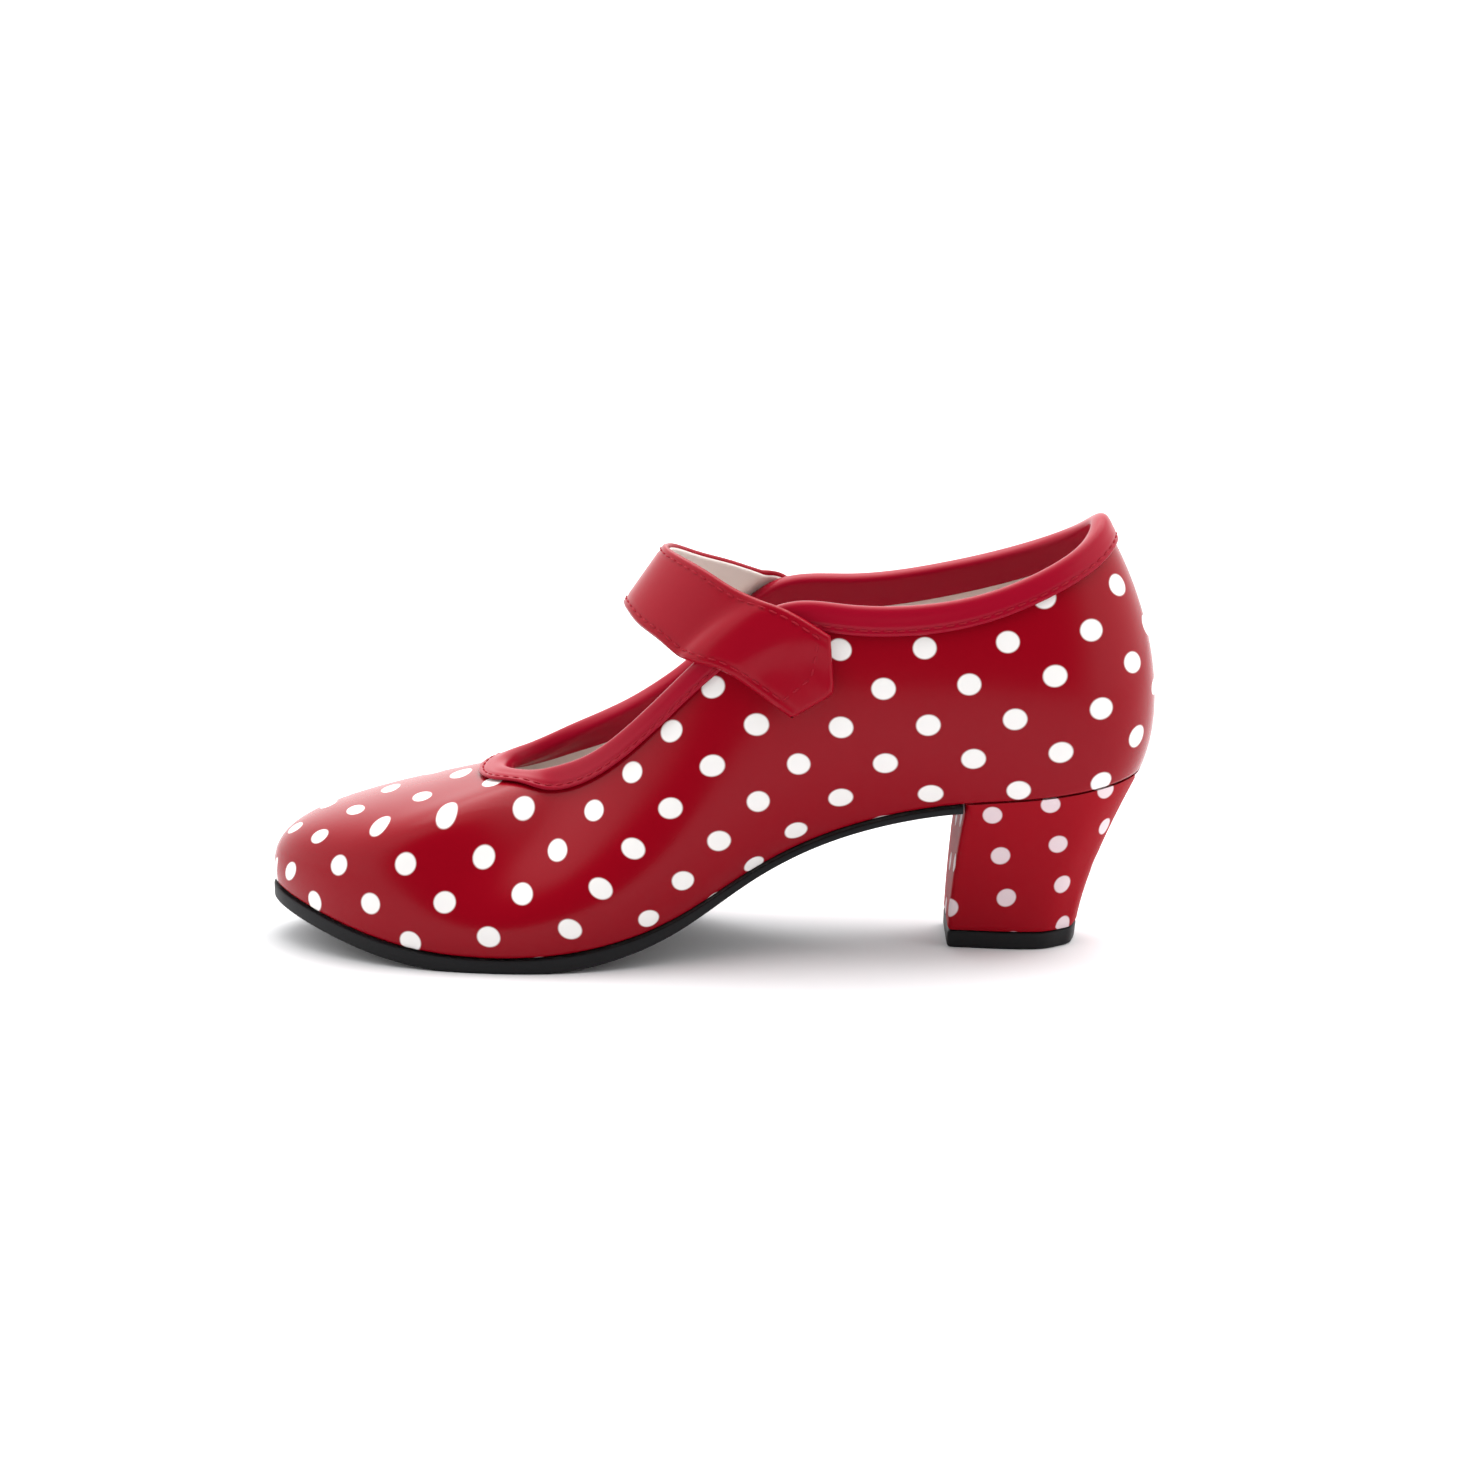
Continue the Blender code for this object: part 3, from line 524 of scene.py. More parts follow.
def cloth_lengths(ring, wall):
    """Lengths along and across the cloth at each point of a coarse wall, cut at the back of the heel.

    The cloth's own directions are given at every point: along the shoe and level on its side, dipping
    towards the toe. The lengths are the least squares fit of two height fields whose steps between
    neighbours follow those directions, each step weighted by the inverse square of its length."""
    x, y, z = wall[..., 0], wall[..., 1], wall[..., 2]
    normal = sheet_normals(wall, ring["out"])
    slope = CLOTH_FRONT_SLOPE * smooth_step((-0.06 - x) / 0.03)
    slope += CLOTH_TOE_SLOPE * smooth_step((-0.12 - x) / 0.03)
    slope += CLOTH_BACK_SLOPE * smooth_step((x + 0.04) / 0.03)
    level = np.zeros_like(x)
    ahead = unit(np.stack([level - 1.0, level, -slope], axis=-1))
    sheet = ahead - np.sum(ahead * normal, axis=-1, keepdims=True) * normal
    belt = np.cross(np.stack([-slope, level, level + 1.0], axis=-1), normal)
    belt *= np.sign(np.sum(belt * sheet, axis=-1, keepdims=True))
    side = smooth_step((-y - 0.001) / 0.006) * (1.0 - smooth_step((normal[..., 2] - CLOTH_TURNS_AT) / (1.0 - CLOTH_TURNS_AT)))
    sheet_length, belt_length = np.linalg.norm(sheet, axis=-1), np.linalg.norm(belt, axis=-1)
    weight = sheet_length * (1.0 - side) + belt_length * side
    along = unit(unit(sheet) * (1.0 - side)[..., None] + unit(belt) * side[..., None])
    across = np.cross(along, normal)
    shear = CLOTH_SHEAR * smooth_step((x + 0.135) / 0.03) * smooth_step((-x - 0.03) / 0.03)
    shear *= smooth_step((0.045 - z) / 0.02)
    stretch = 1.0 + CLOTH_FRONT_STRETCH * smooth_step((-0.055 - x) / 0.05)
    stretch += CLOTH_TOE_STRETCH * smooth_step((-0.115 - x) / 0.03)
    fields = along * stretch[..., None] - across * shear[..., None], across * CLOTH_ACROSS_STRETCH
    cut = closed_ring(wall).reshape(-1, 3)
    index = np.arange(len(cut)).reshape(len(wall) + 1, -1)
    a = np.concatenate([index[:-1].ravel(), index[:, :-1].ravel()])
    b = np.concatenate([index[1:].ravel(), index[:, 1:].ravel()])
    step = cut[b] - cut[a]
    weights = closed_ring(weight).ravel()
    pull = weights[a] * weights[b] / np.sum(step * step, axis=1)
    matrix = np.zeros((len(cut), len(cut)))
    np.add.at(matrix, (a, a), pull)
    np.add.at(matrix, (b, b), pull)
    np.add.at(matrix, (a, b), -pull)
    np.add.at(matrix, (b, a), -pull)
    matrix[0, 0] += 1.0
    targets = []
    for field in fields:
        field = closed_ring(field).reshape(-1, 3)
        wanted = np.sum((field[a] + field[b]) / 2.0 * step, axis=1) * pull
        target = np.zeros(len(cut))
        np.add.at(target, b, wanted)
        np.add.at(target, a, -wanted)
        targets.append(target)
    lengths = np.linalg.solve(matrix, np.stack(targets, axis=1))
    lengths = softened(lengths.reshape(*index.shape, 2), CLOTH_SOFTENING)
    return np.swapaxes(softened(np.swapaxes(lengths, 0, 1), CLOTH_SOFTENING - 1), 0, 1)


def finer(coarse, rows, columns):
    """A coarse grid of values read at more rows and columns by splines both ways."""
    tall = spline(np.linspace(0.0, 1.0, len(coarse)), coarse, np.linspace(0.0, 1.0, rows))
    turned = np.swapaxes(tall, 0, 1)
    wide = spline(np.linspace(0.0, 1.0, len(turned)), turned, np.linspace(0.0, 1.0, columns))
    return np.swapaxes(wide, 0, 1)


def add_surface(name, grid, material, uv=None, sharp=False):
    """One named piece from one grid of points, or from several alike, each closed by repeating its ends.
    Repeated points are merged and the faces turned outwards. The piece rides on the shoe."""
    if name in bpy.data.objects:
        raise RuntimeError(f"{name} is in the scene already")
    grid = grid if grid.ndim == 4 else grid[None]
    count, rows, columns = grid.shape[:3]
    i, j = np.meshgrid(np.arange(rows - 1), np.arange(columns - 1), indexing="ij")
    corner = i * columns + j
    faces = np.stack([corner, corner + columns, corner + columns + 1, corner + 1], axis=-1).reshape(-1, 4)
    faces = (faces[None] + np.arange(count)[:, None, None] * rows * columns).reshape(-1, 4)
    mesh = bpy.data.meshes.new(name)
    mesh.from_pydata(grid.reshape(-1, 3).tolist(), [], faces.tolist())
    if uv is not None:
        layer = mesh.uv_layers.new(name="cloth")
        layer.data.foreach_set("uv", uv.reshape(-1, 2)[faces.ravel()].ravel())
    shape = bmesh.new()
    shape.from_mesh(mesh)
    bmesh.ops.remove_doubles(shape, verts=shape.verts, dist=MERGE)
    bmesh.ops.dissolve_degenerate(shape, edges=shape.edges, dist=MERGE)
    bmesh.ops.recalc_face_normals(shape, faces=shape.faces)
    shape.to_mesh(mesh)
    shape.free()
    mesh.shade_smooth()
    if sharp:
        mesh.set_sharp_from_angle(angle=SHARP_ANGLE)
    mesh.materials.append(material)
    piece = bpy.data.objects.new(name, mesh)
    bpy.context.scene.collection.objects.link(piece)
    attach(piece, "root")
    return piece


def stitch_grids(path, out, length, gap, thick):
    """A row of stitches along a path: short round threads that sink at both ends. Each stitch is a circle
    carried along its stretch of the path, with its radius a half ellipse from end to end."""
    steps = np.linalg.norm(np.diff(path, axis=0), axis=1)
    reach = np.concatenate([[0.0], np.cumsum(steps)])
    count = int(reach[-1] / (length + gap))
    share = np.linspace(0.0, 1.0, 9)
    at = (np.arange(count)[:, None] * (length + gap) + share[None, :] * length) * reach[-1] / (
        count * (length + gap)
    )
    centre = np.stack([np.interp(at, reach, path[:, k]) for k in range(3)], axis=-1)
    raised = unit(np.stack([np.interp(at, reach, out[:, k]) for k in range(3)], axis=-1))
    beside = unit(np.cross(np.gradient(centre, axis=1), raised))
    radius = thick / 2.0 * np.sqrt(np.maximum(1.0 - (2.0 * share - 1.0) ** 4, 0.0))
    turn = np.linspace(0.0, 2.0 * np.pi, 9)
    turn[-1] = 0.0
    lift = (np.sin(share * np.pi) - 0.5) * thick * 0.5
    centre = centre + raised * lift[None, :, None]
    ring = raised[:, :, None] * np.cos(turn)[None, None, :, None]
    ring = ring + beside[:, :, None] * np.sin(turn)[None, None, :, None]
    return centre[:, :, None] + ring * radius[None, :, None, None]


class Nodes:
    """Short calls for the nodes of one material."""

    def __init__(self, name):
        self.material = bpy.data.materials.new(name)
        self.material.use_nodes = True
        self.tree = self.material.node_tree
        self.shader = self.tree.nodes["Principled BSDF"]

    def add(self, kind, settings=(), values=(), links=()):
        node = self.tree.nodes.new(kind)
        for key, value in dict(settings).items():
            setattr(node, key, value)
        for key, value in dict(values).items():
            node.inputs[key].default_value = value
        for key, source in dict(links).items():
            self.tree.links.new(source, node.inputs[key])
        return node

    def feed(self, socket, source):
        self.tree.links.new(source, self.shader.inputs[socket])


def finish_of(name, colour, roughness, coat=0.0, coat_roughness=0.1, specular=0.10):
    """A principled material with the values that are the same all over its surface."""
    nodes = Nodes(name)
    shader = nodes.shader
    shader.inputs["Base Color"].default_value = (*colour, 1.0)
    shader.inputs["Roughness"].default_value = roughness
    shader.inputs["Coat Weight"].default_value = coat
    shader.inputs["Coat Roughness"].default_value = coat_roughness
    shader.inputs["Specular IOR Level"].default_value = specular
    return nodes


def add_grain(nodes, size, height, detail=3.0):
    """Fine relief of leather or cloth by a bump from noise, size across one grain and height in metres."""
    place = nodes.add("ShaderNodeTexCoord").outputs["Object"]
    noise = nodes.add(
        "ShaderNodeTexNoise", values={"Scale": 1.0 / size, "Detail": detail}, links={"Vector": place}
    )
    bump = nodes.add(
        "ShaderNodeBump",
        values={"Strength": 1.0, "Distance": height},
        links={"Height": noise.outputs[0]},
    )
    nodes.feed("Normal", bump.outputs[0])
    return noise


def add_dots(nodes, colour, dot_colour, pitch, diameter, shift, centred=True):
    """Round dots on a lattice of the cloth's lengths, and where centred, one more in the middle of each
    square. The distance to the nearest dot is the length of what is left after whole pitches."""
    cloth = nodes.add("ShaderNodeUVMap", settings={"uv_map": "cloth"}).outputs[0]
    scaled = nodes.add(
        "ShaderNodeVectorMath",
        settings={"operation": "DIVIDE"},
        values={1: (*pitch, 1.0)},
        links={0: cloth},
    )
    shifts = [(0.5, 0.5)] + ([(0.0, 0.0)] if centred else [])
    nearest = None
    for across, up in shifts:
        moved = nodes.add(
            "ShaderNodeVectorMath",
            settings={"operation": "ADD"},
            values={1: (across - shift[0], up - shift[1], 0.0)},
            links={0: scaled.outputs[0]},
        )
        part = nodes.add(
            "ShaderNodeVectorMath", settings={"operation": "FRACTION"}, links={0: moved.outputs[0]}
        )
        middle = nodes.add(
            "ShaderNodeVectorMath",
            settings={"operation": "SUBTRACT"},
            values={1: (0.5, 0.5, 0.0)},
            links={0: part.outputs[0]},
        )
        real = nodes.add(
            "ShaderNodeVectorMath",
            settings={"operation": "MULTIPLY"},
            values={1: (*pitch, 0.0)},
            links={0: middle.outputs[0]},
        )
        away = nodes.add(
            "ShaderNodeVectorMath", settings={"operation": "LENGTH"}, links={0: real.outputs[0]}
        ).outputs["Value"]
        if nearest is None:
            nearest = away
        else:
            nearest = nodes.add(
                "ShaderNodeMath", settings={"operation": "MINIMUM"}, links={0: nearest, 1: away}
            ).outputs[0]
    edge = diameter * 0.05
    inside = nodes.add(
        "ShaderNodeMapRange",
        settings={"interpolation_type": "SMOOTHSTEP"},
        values={1: diameter / 2.0 - edge, 2: diameter / 2.0 + edge, 3: 1.0, 4: 0.0},
        links={0: nearest},
    )
    mix = nodes.add(
        "ShaderNodeMix",
        settings={"data_type": "RGBA"},
        values={6: (*colour, 1.0), 7: (*dot_colour, 1.0)},
        links={0: inside.outputs[0]},
    )
    nodes.feed("Base Color", mix.outputs[2])


class ShoeColours(bpy.types.PropertyGroup):
    """Colours of the shoe's materials."""

    upper: bpy.props.FloatVectorProperty(
        name="Upper", description="Leather of the upper", subtype="COLOR", default=(0.260, 0.0012, 0.008)
    )
    binding: bpy.props.FloatVectorProperty(
        name="Binding", description="Collar binding", subtype="COLOR", default=(0.310, 0.003, 0.018)
    )
    strap: bpy.props.FloatVectorProperty(
        name="Strap", description="Instep strap", subtype="COLOR", default=(0.290, 0.002, 0.012)
    )
    heel: bpy.props.FloatVectorProperty(
        name="Heel", description="Heel cover", subtype="COLOR", default=(0.300, 0.002, 0.009)
    )
    dots: bpy.props.FloatVectorProperty(
        name="Dots", description="Printed dots", subtype="COLOR", default=(0.88, 0.86, 0.84)
    )
    heel_dots: bpy.props.FloatVectorProperty(
        name="Heel dots", description="Dots of the heel", subtype="COLOR", default=(0.76, 0.62, 0.65)
    )
    lining: bpy.props.FloatVectorProperty(
        name="Lining", description="Lining and sock", subtype="COLOR", default=(0.75, 0.68, 0.64)
    )
    rubber: bpy.props.FloatVectorProperty(
        name="Rubber", description="Soles and top piece", subtype="COLOR", default=(0.014, 0.014, 0.015)
    )
    thread: bpy.props.FloatVectorProperty(
        name="Thread", description="Stitches", subtype="COLOR", default=(0.32, 0.008, 0.020)
    )


class ShoeSizes(bpy.types.PropertyGroup):
    """Sizes of the dots and stitches, and the depth of the creases."""

    dot_pitch: bpy.props.FloatProperty(
        name="Dot pitch", description="Between dots of one row", unit="LENGTH", default=0.0195
    )
    dot_diameter: bpy.props.FloatProperty(
        name="Dot diameter", description="Across one dot", unit="LENGTH", default=0.0054
    )
    heel_dot_diameter: bpy.props.FloatProperty(
        name="Heel dot diameter", description="Across a heel dot", unit="LENGTH", default=0.0044
    )
    heel_dot_pitch: bpy.props.FloatProperty(
        name="Heel dot pitch", description="Between dots around the heel", unit="LENGTH", default=0.0135
    )
    heel_dot_rise: bpy.props.FloatProperty(
        name="Heel dot rise", description="Between dots up the heel", unit="LENGTH", default=0.0110
    )
    stitch_length: bpy.props.FloatProperty(
        name="Stitch", description="Length of one stitch", unit="LENGTH", default=0.0022
    )
    stitch_gap: bpy.props.FloatProperty(
        name="Stitch gap", description="Between two stitches", unit="LENGTH", default=0.0006
    )
    thread: bpy.props.FloatProperty(
        name="Thread", description="Across the thread", unit="LENGTH", default=0.00040
    )
    crease_scale: bpy.props.FloatProperty(
        name="Creases", description="Depth of the creases as a share", subtype="FACTOR", default=1.0
    )


class ShoeStage(bpy.types.PropertyGroup):
    """Camera, floor and light."""

    azimuth: bpy.props.FloatProperty(
        name="Azimuth", description="Camera around the shoe", subtype="ANGLE", default=np.radians(1.0)
    )
    elevation: bpy.props.FloatProperty(
        name="Elevation", description="Camera above the floor", subtype="ANGLE", default=np.radians(12.0)
    )
    distance: bpy.props.FloatProperty(
        name="Distance", description="Camera to its target", unit="LENGTH", default=0.810
    )
    lens: bpy.props.FloatProperty(
        name="Lens", description="Focal length", unit="CAMERA", default=85.0
    )
    floor: bpy.props.FloatVectorProperty(
        name="Floor", description="Colour of the floor", subtype="COLOR", default=(0.80, 0.80, 0.81)
    )
    surround: bpy.props.FloatProperty(
        name="Surround", description="Brightness of the white room", default=2.0
    )
    softbox: bpy.props.FloatProperty(
        name="Softbox", description="Power of the light above", unit="POWER", default=8.0
    )
    dark: bpy.props.FloatProperty(
        name="Dark side", description="Brightness behind the camera", default=0.03
    )


class SHOE_OT_upper(bpy.types.Operator):
    """Make the dotted leather of the upper and its lining"""

    bl_idname = "shoe.upper"
    bl_label = "Upper"

    def execute(self, context):
        colours, sizes = context.scene.shoe_colours, context.scene.shoe_sizes
        ring = last_ring(RING_STEPS)
        shares = np.linspace(0.0, 1.0, WALL_STEPS + 1)
        wall = upper_surface(ring, shares)
        normal = sheet_normals(wall, ring["out"])
        around = np.arange(RING_STEPS) / RING_STEPS
        up = wall_lengths(wall)
        tuck = np.clip(1.0 - up / FOOT_ROUND, 0.0, 1.0)
        sunk = FOOT_ROUND * (1.0 - np.sqrt(1.0 - tuck**2)) * 0.7
        sunk = sunk + crease_depth(wall, around, shares) * sizes.crease_scale
        face = closed_ring(wall - normal * sunk[..., None])
        inside = closed_ring(wall + normal * LEATHER_INNER)[:, :: -WALL_STEPS // INSIDE_STEPS]
        coarse = upper_surface(last_ring(CLOTH_RING), np.linspace(0.0, 1.0, CLOTH_WALL + 1))
        cloth = finer(cloth_lengths(last_ring(CLOTH_RING), coarse), RING_STEPS + 1, WALL_STEPS + 1)
        grid = np.concatenate([face, inside, face[:, :1]], axis=1)
        uv = np.concatenate([cloth, cloth[:, :: -WALL_STEPS // INSIDE_STEPS], cloth[:, :1]], axis=1)
        leather = finish_of("dotted_leather", colours.upper, 0.24, coat=0.06, coat_roughness=0.14)
        add_grain(leather, 0.0011, 0.000010)
        pitch = sizes.dot_pitch
        shift = (DOTS_ALONG, DOTS_ACROSS)
        add_dots(leather, colours.upper, colours.dots, (pitch, pitch), sizes.dot_diameter, shift)
        piece = add_surface("upper_leather", grid, leather.material, uv)
        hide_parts("upper")
        lining = finish_of("lining_leather", colours.lining, 0.62)
        add_grain(lining, 0.0006, 0.00003)
        step = WALL_STEPS // INSIDE_STEPS
        outer = closed_ring(wall + normal * LINING_OUTER)[::2, ::step]
        inner = closed_ring(wall - normal * WALL)[::2, ::-step]
        grid = np.concatenate([outer, inner, outer[:, :1]], axis=1)
        add_surface("upper_lining", grid, lining.material)
        return {"FINISHED"}


class SHOE_OT_binding(bpy.types.Operator):
    """Make the binding folded over the topline and its row of stitches"""

    bl_idname = "shoe.binding"
    bl_label = "Collar Binding"

    def execute(self, context):
        colours, sizes = context.scene.shoe_colours, context.scene.shoe_sizes
        ring = last_ring(RING_STEPS)
        table = np.array(BINDING_SECTION) / 1000.0
        chords = np.linalg.norm(np.roll(table, -1, axis=0) - table, axis=1)
        knots = np.concatenate([[0.0], np.cumsum(chords)[:-1]])
        at = np.arange(FOLD_STEPS) / FOLD_STEPS * chords.sum()
        section = spline(knots, table, at, period=chords.sum())
        points, normal, _ = topline_bands(ring, section[:, 0])
        points = points + normal * section[:, 1][None, :, None]
        grid = closed_ring(points)
        grid = np.concatenate([grid, grid[:, :1]], axis=1)
        leather = finish_of("binding_leather", colours.binding, 0.30, coat=0.05, coat_roughness=0.2)
        add_grain(leather, 0.0008, 0.000010)
        piece = add_surface("binding", grid, leather.material)
        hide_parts("collar_binding")
        line, out, _ = topline_bands(ring, [0.0045])
        path = closed_ring(line[:, 0] + out[:, 0] * 0.00106)
        grids = stitch_grids(path, closed_ring(out[:, 0]), sizes.stitch_length, sizes.stitch_gap, sizes.thread)
        thread = finish_of("thread", colours.thread, 0.55)
        add_surface("binding_stitches", grids, thread.material)
        return {"FINISHED"}


def lay_strap(points, laid):
    """Keeps the strap's outer face clear of what it crosses, from the nearest point of a fine wall. Over
    the collar it rides on the fold of the binding as on a rod. Below the topline it stays its own
    thickness off the quarter and the binding's flap, and where laid is 1 it is drawn in to that."""
    ring = last_ring(RING_STEPS)
    wall = upper_surface(ring, np.linspace(0.0, 1.0, SEARCH_STEPS * 2 + 1))
    normals = sheet_normals(wall, ring["out"])
    up = wall_lengths(wall)
    below = (up[:, -1:] - up).ravel()
    near = np.abs(wall[:, -1, 0] - points[..., 0].mean()) < 0.05
    below = below.reshape(up.shape)[near].ravel()
    surface, normals = wall[near].reshape(-1, 3), normals[near].reshape(-1, 3)
    flat = points.reshape(-1, 3)
    away = (flat**2).sum(1)[:, None] - 2.0 * flat @ surface.T + (surface**2).sum(1)[None]
    found = np.argmin(away, axis=1)
    nearest, normal, depth = surface[found], normals[found], below[found]
    binding = GAP + BINDING_THICKNESS
    rod = WALL / 2.0 + binding + STRAP_CLEARANCE + STRAP_THICKNESS
    centre = nearest - normal * WALL / 2.0
    spoke = flat - centre
    reach = np.linalg.norm(spoke, axis=1, keepdims=True)
    over_rod = np.where(reach < rod, centre + spoke / reach * rod, flat)
    over_binding = 1.0 - smooth_step(depth / BINDING_DEPTH - STRAP_SETTLES)
    height = STRAP_THICKNESS + STRAP_CLEARANCE + binding * over_binding
    move = height - np.sum((flat - nearest) * normal, axis=1)
    drawn = np.where(move > 0.0, move, move * laid.ravel())
    on_side = flat + normal * np.where(move > rod * 2.0, 0.0, drawn)[:, None]
    placed = np.where((depth < TOPLINE_REACH)[:, None], over_rod, on_side)
    moved = softened((placed - flat).reshape(points.shape), 2)
    return points + np.swapaxes(softened(np.swapaxes(moved, 0, 1), 1), 0, 1)


def strap_face(steps, columns):
    """The strap's outer face between its two edges, with a blunt point at its fastened end."""
    table = np.array([fold[1:] for fold in STRAP_FOLDS])
    crossed = next(section for section in SECTIONS if section.name == "outer strap")
    collar_x = float(x_at(crossed.top_along))
    depth = float(between(crossed.top_along, COLLAR_DEPTH, THROAT_DEPTH))
    collar = bottom_height(collar_x) + depth * crossed.top_depth
    side = table[:, 4] * COLLAR_WIDTH / 2.0
    rear = np.column_stack([collar_x + table[:, 0] * STRAP_WIDTH, side, collar + table[:, 1] * STRAP_WIDTH])
    front = np.column_stack([collar_x + table[:, 2] * STRAP_WIDTH, side, collar + table[:, 3] * STRAP_WIDTH])
    chords = np.linalg.norm(np.diff((rear + front) / 2.0, axis=0), axis=1)
    knots = np.concatenate([[0.0], np.cumsum(chords)])
    at = np.linspace(0.0, knots[-1], steps)
    rear, front = spline(knots, rear, at), spline(knots, front, at)
    laid = np.interp(at, knots, table[:, 5])
    across = np.linspace(0.0, 1.0, columns)
    points = rear[:, None] * (1.0 - across[None, :, None]) + front[:, None] * across[None, :, None]
    end = unit(points[0].mean(axis=0) - points[1].mean(axis=0))
    blunt = np.sqrt((2.0 * across - 1.0) ** 2 + 0.01) - 0.1
    point = STRAP_POINT * (1.0 - blunt / blunt.max())
    stretch = np.clip(1.0 - at / knots[1], 0.0, 1.0)
    points += end * (point[None, :] * stretch[:, None])[..., None]
    return lay_strap(points, np.broadcast_to(laid[:, None], points.shape[:2]))


def band_grid(face, normal, top, bottom, inset, edge):
    """A closed band under a face: its upper and lower sides, drawn together at all four edges by the
    height of a circle of the edge's radius. Inset is how far its edges lie inside the face's."""
    rows, columns = face.shape[:2]
    down = wall_lengths(np.swapaxes(face, 0, 1))
    along = np.swapaxes(down, 0, 1)
    across = wall_lengths(face)
    near = np.minimum(
        np.minimum(along, along[-1:] - along), np.minimum(across, across[:, -1:] - across)
    )
    near = np.maximum(near - inset, 0.0)
    full = np.sqrt(1.0 - (1.0 - np.minimum(near / edge, 1.0)) ** 2)
    middle, half = (top + bottom) / 2.0, (top - bottom) / 2.0
    upper = face + normal * (middle + half * full)[..., None]
    lower = face + normal * (middle - half * full)[..., None]
    return np.concatenate([upper, lower[:, ::-1], upper[:, :1]], axis=1)


class SHOE_OT_strap(bpy.types.Operator):
    """Make the instep strap, its lining and its stitches"""

    bl_idname = "shoe.strap"
    bl_label = "Instep Strap"

    def execute(self, context):
        colours, sizes = context.scene.shoe_colours, context.scene.shoe_sizes
        face = finer(strap_face(LAY_STEPS, LAY_COLUMNS), STRAP_STEPS, STRAP_COLUMNS)
        normal = unit(np.cross(np.gradient(face, axis=0), np.gradient(face, axis=1)))
        if normal[STRAP_STEPS // 2, :, 2].mean() < 0.0:
            normal = -normal
        across = wall_lengths(face)
        near = np.minimum(across, across[:, -1:] - across)
        groove = 0.00016 * np.exp(-(((near - 0.0020) / 0.0005) ** 2))
        leather = finish_of("strap_leather", colours.strap, 0.28, coat=0.05, coat_roughness=0.16)
        add_grain(leather, 0.0009, 0.000010)
        zero = np.zeros_like(near)
        bottom = -STRAP_THICKNESS + STRAP_LINING
        grid = band_grid(face, normal, zero - groove, zero + bottom, 0.0, 0.0009)
        piece = add_surface("strap_leather", grid, leather.material)
        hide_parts("strap")
        inner = face[6:-6, 1:-1]
        flat = np.zeros(inner.shape[:2])
        grid = band_grid(inner, normal[6:-6, 1:-1], flat + bottom - 0.00005, flat - STRAP_THICKNESS, 0.0, 0.0004)
        lining = finish_of("strap_lining_leather", colours.lining, 0.62)
        add_surface("strap_lining", grid, lining.material)
        edge = np.array([0.0020, 0.0180]) / STRAP_WIDTH * (STRAP_COLUMNS - 1)
        low, high = np.round(edge).astype(int)
        tip = 8
        rows = np.arange(STRAP_STEPS - 10, tip, -1)
        line = [(row, low) for row in rows] + [(tip, column) for column in range(low, high + 1)]
        line += [(row, high) for row in rows[::-1]]
        row, column = np.array(line).T
        path = face[row, column] - normal[row, column] * 0.00008
        grids = stitch_grids(
            path, normal[row, column], sizes.stitch_length, sizes.stitch_gap, sizes.thread
        )
        thread = finish_of("strap_thread", colours.thread, 0.55)
        add_surface("strap_stitches", grids, thread.material)
        return {"FINISHED"}


def sole_grid(offsets, heights, back_x=None):
    """A sole layer as a closed grid: for each station from tip to back, once around its section. Offsets
    and height functions rise from the lower face to the upper one; the faces are straight across."""
    stations = (1.0 - np.cos(np.linspace(0.0, np.pi, SOLE_STATIONS))) / 2.0
    across = np.linspace(0.0, 1.0, SOLE_COLUMNS)
    rings = []
    for level, (offset, height) in enumerate(zip(offsets, heights)):
        outer, inner = outline(offset)
        end = outer[0][0] if back_x is None else back_x
        x = outer[0][-1] + (end - outer[0][-1]) * stations
        rings.append((x, side_at(outer, x), side_at(inner, x), height(x)))
    columns = []
    for level, (x, outer, inner, z) in enumerate(rings):
        if level in (0, len(rings) - 1):
            y = outer[:, None] + (inner - outer)[:, None] * across
            row = np.stack([np.broadcast_to(x[:, None], y.shape), y, np.broadcast_to(z[:, None], y.shape)], -1)
            columns.append(row if level == 0 else row[:, ::-1])
        else:
            columns.append(np.stack([x, inner, z], axis=-1)[:, None])
    for x, outer, inner, z in rings[-2:0:-1]:
        columns.append(np.stack([x, outer, z], axis=-1)[:, None])
    grid = np.concatenate(columns, axis=1)
    grid = np.concatenate([grid, grid[:, :1]], axis=1)
    if back_x is not None:
        end = grid[-1]
        middle = end.mean(axis=0)
        grid = np.concatenate([grid, [np.broadcast_to(middle, end.shape)]])
    return grid


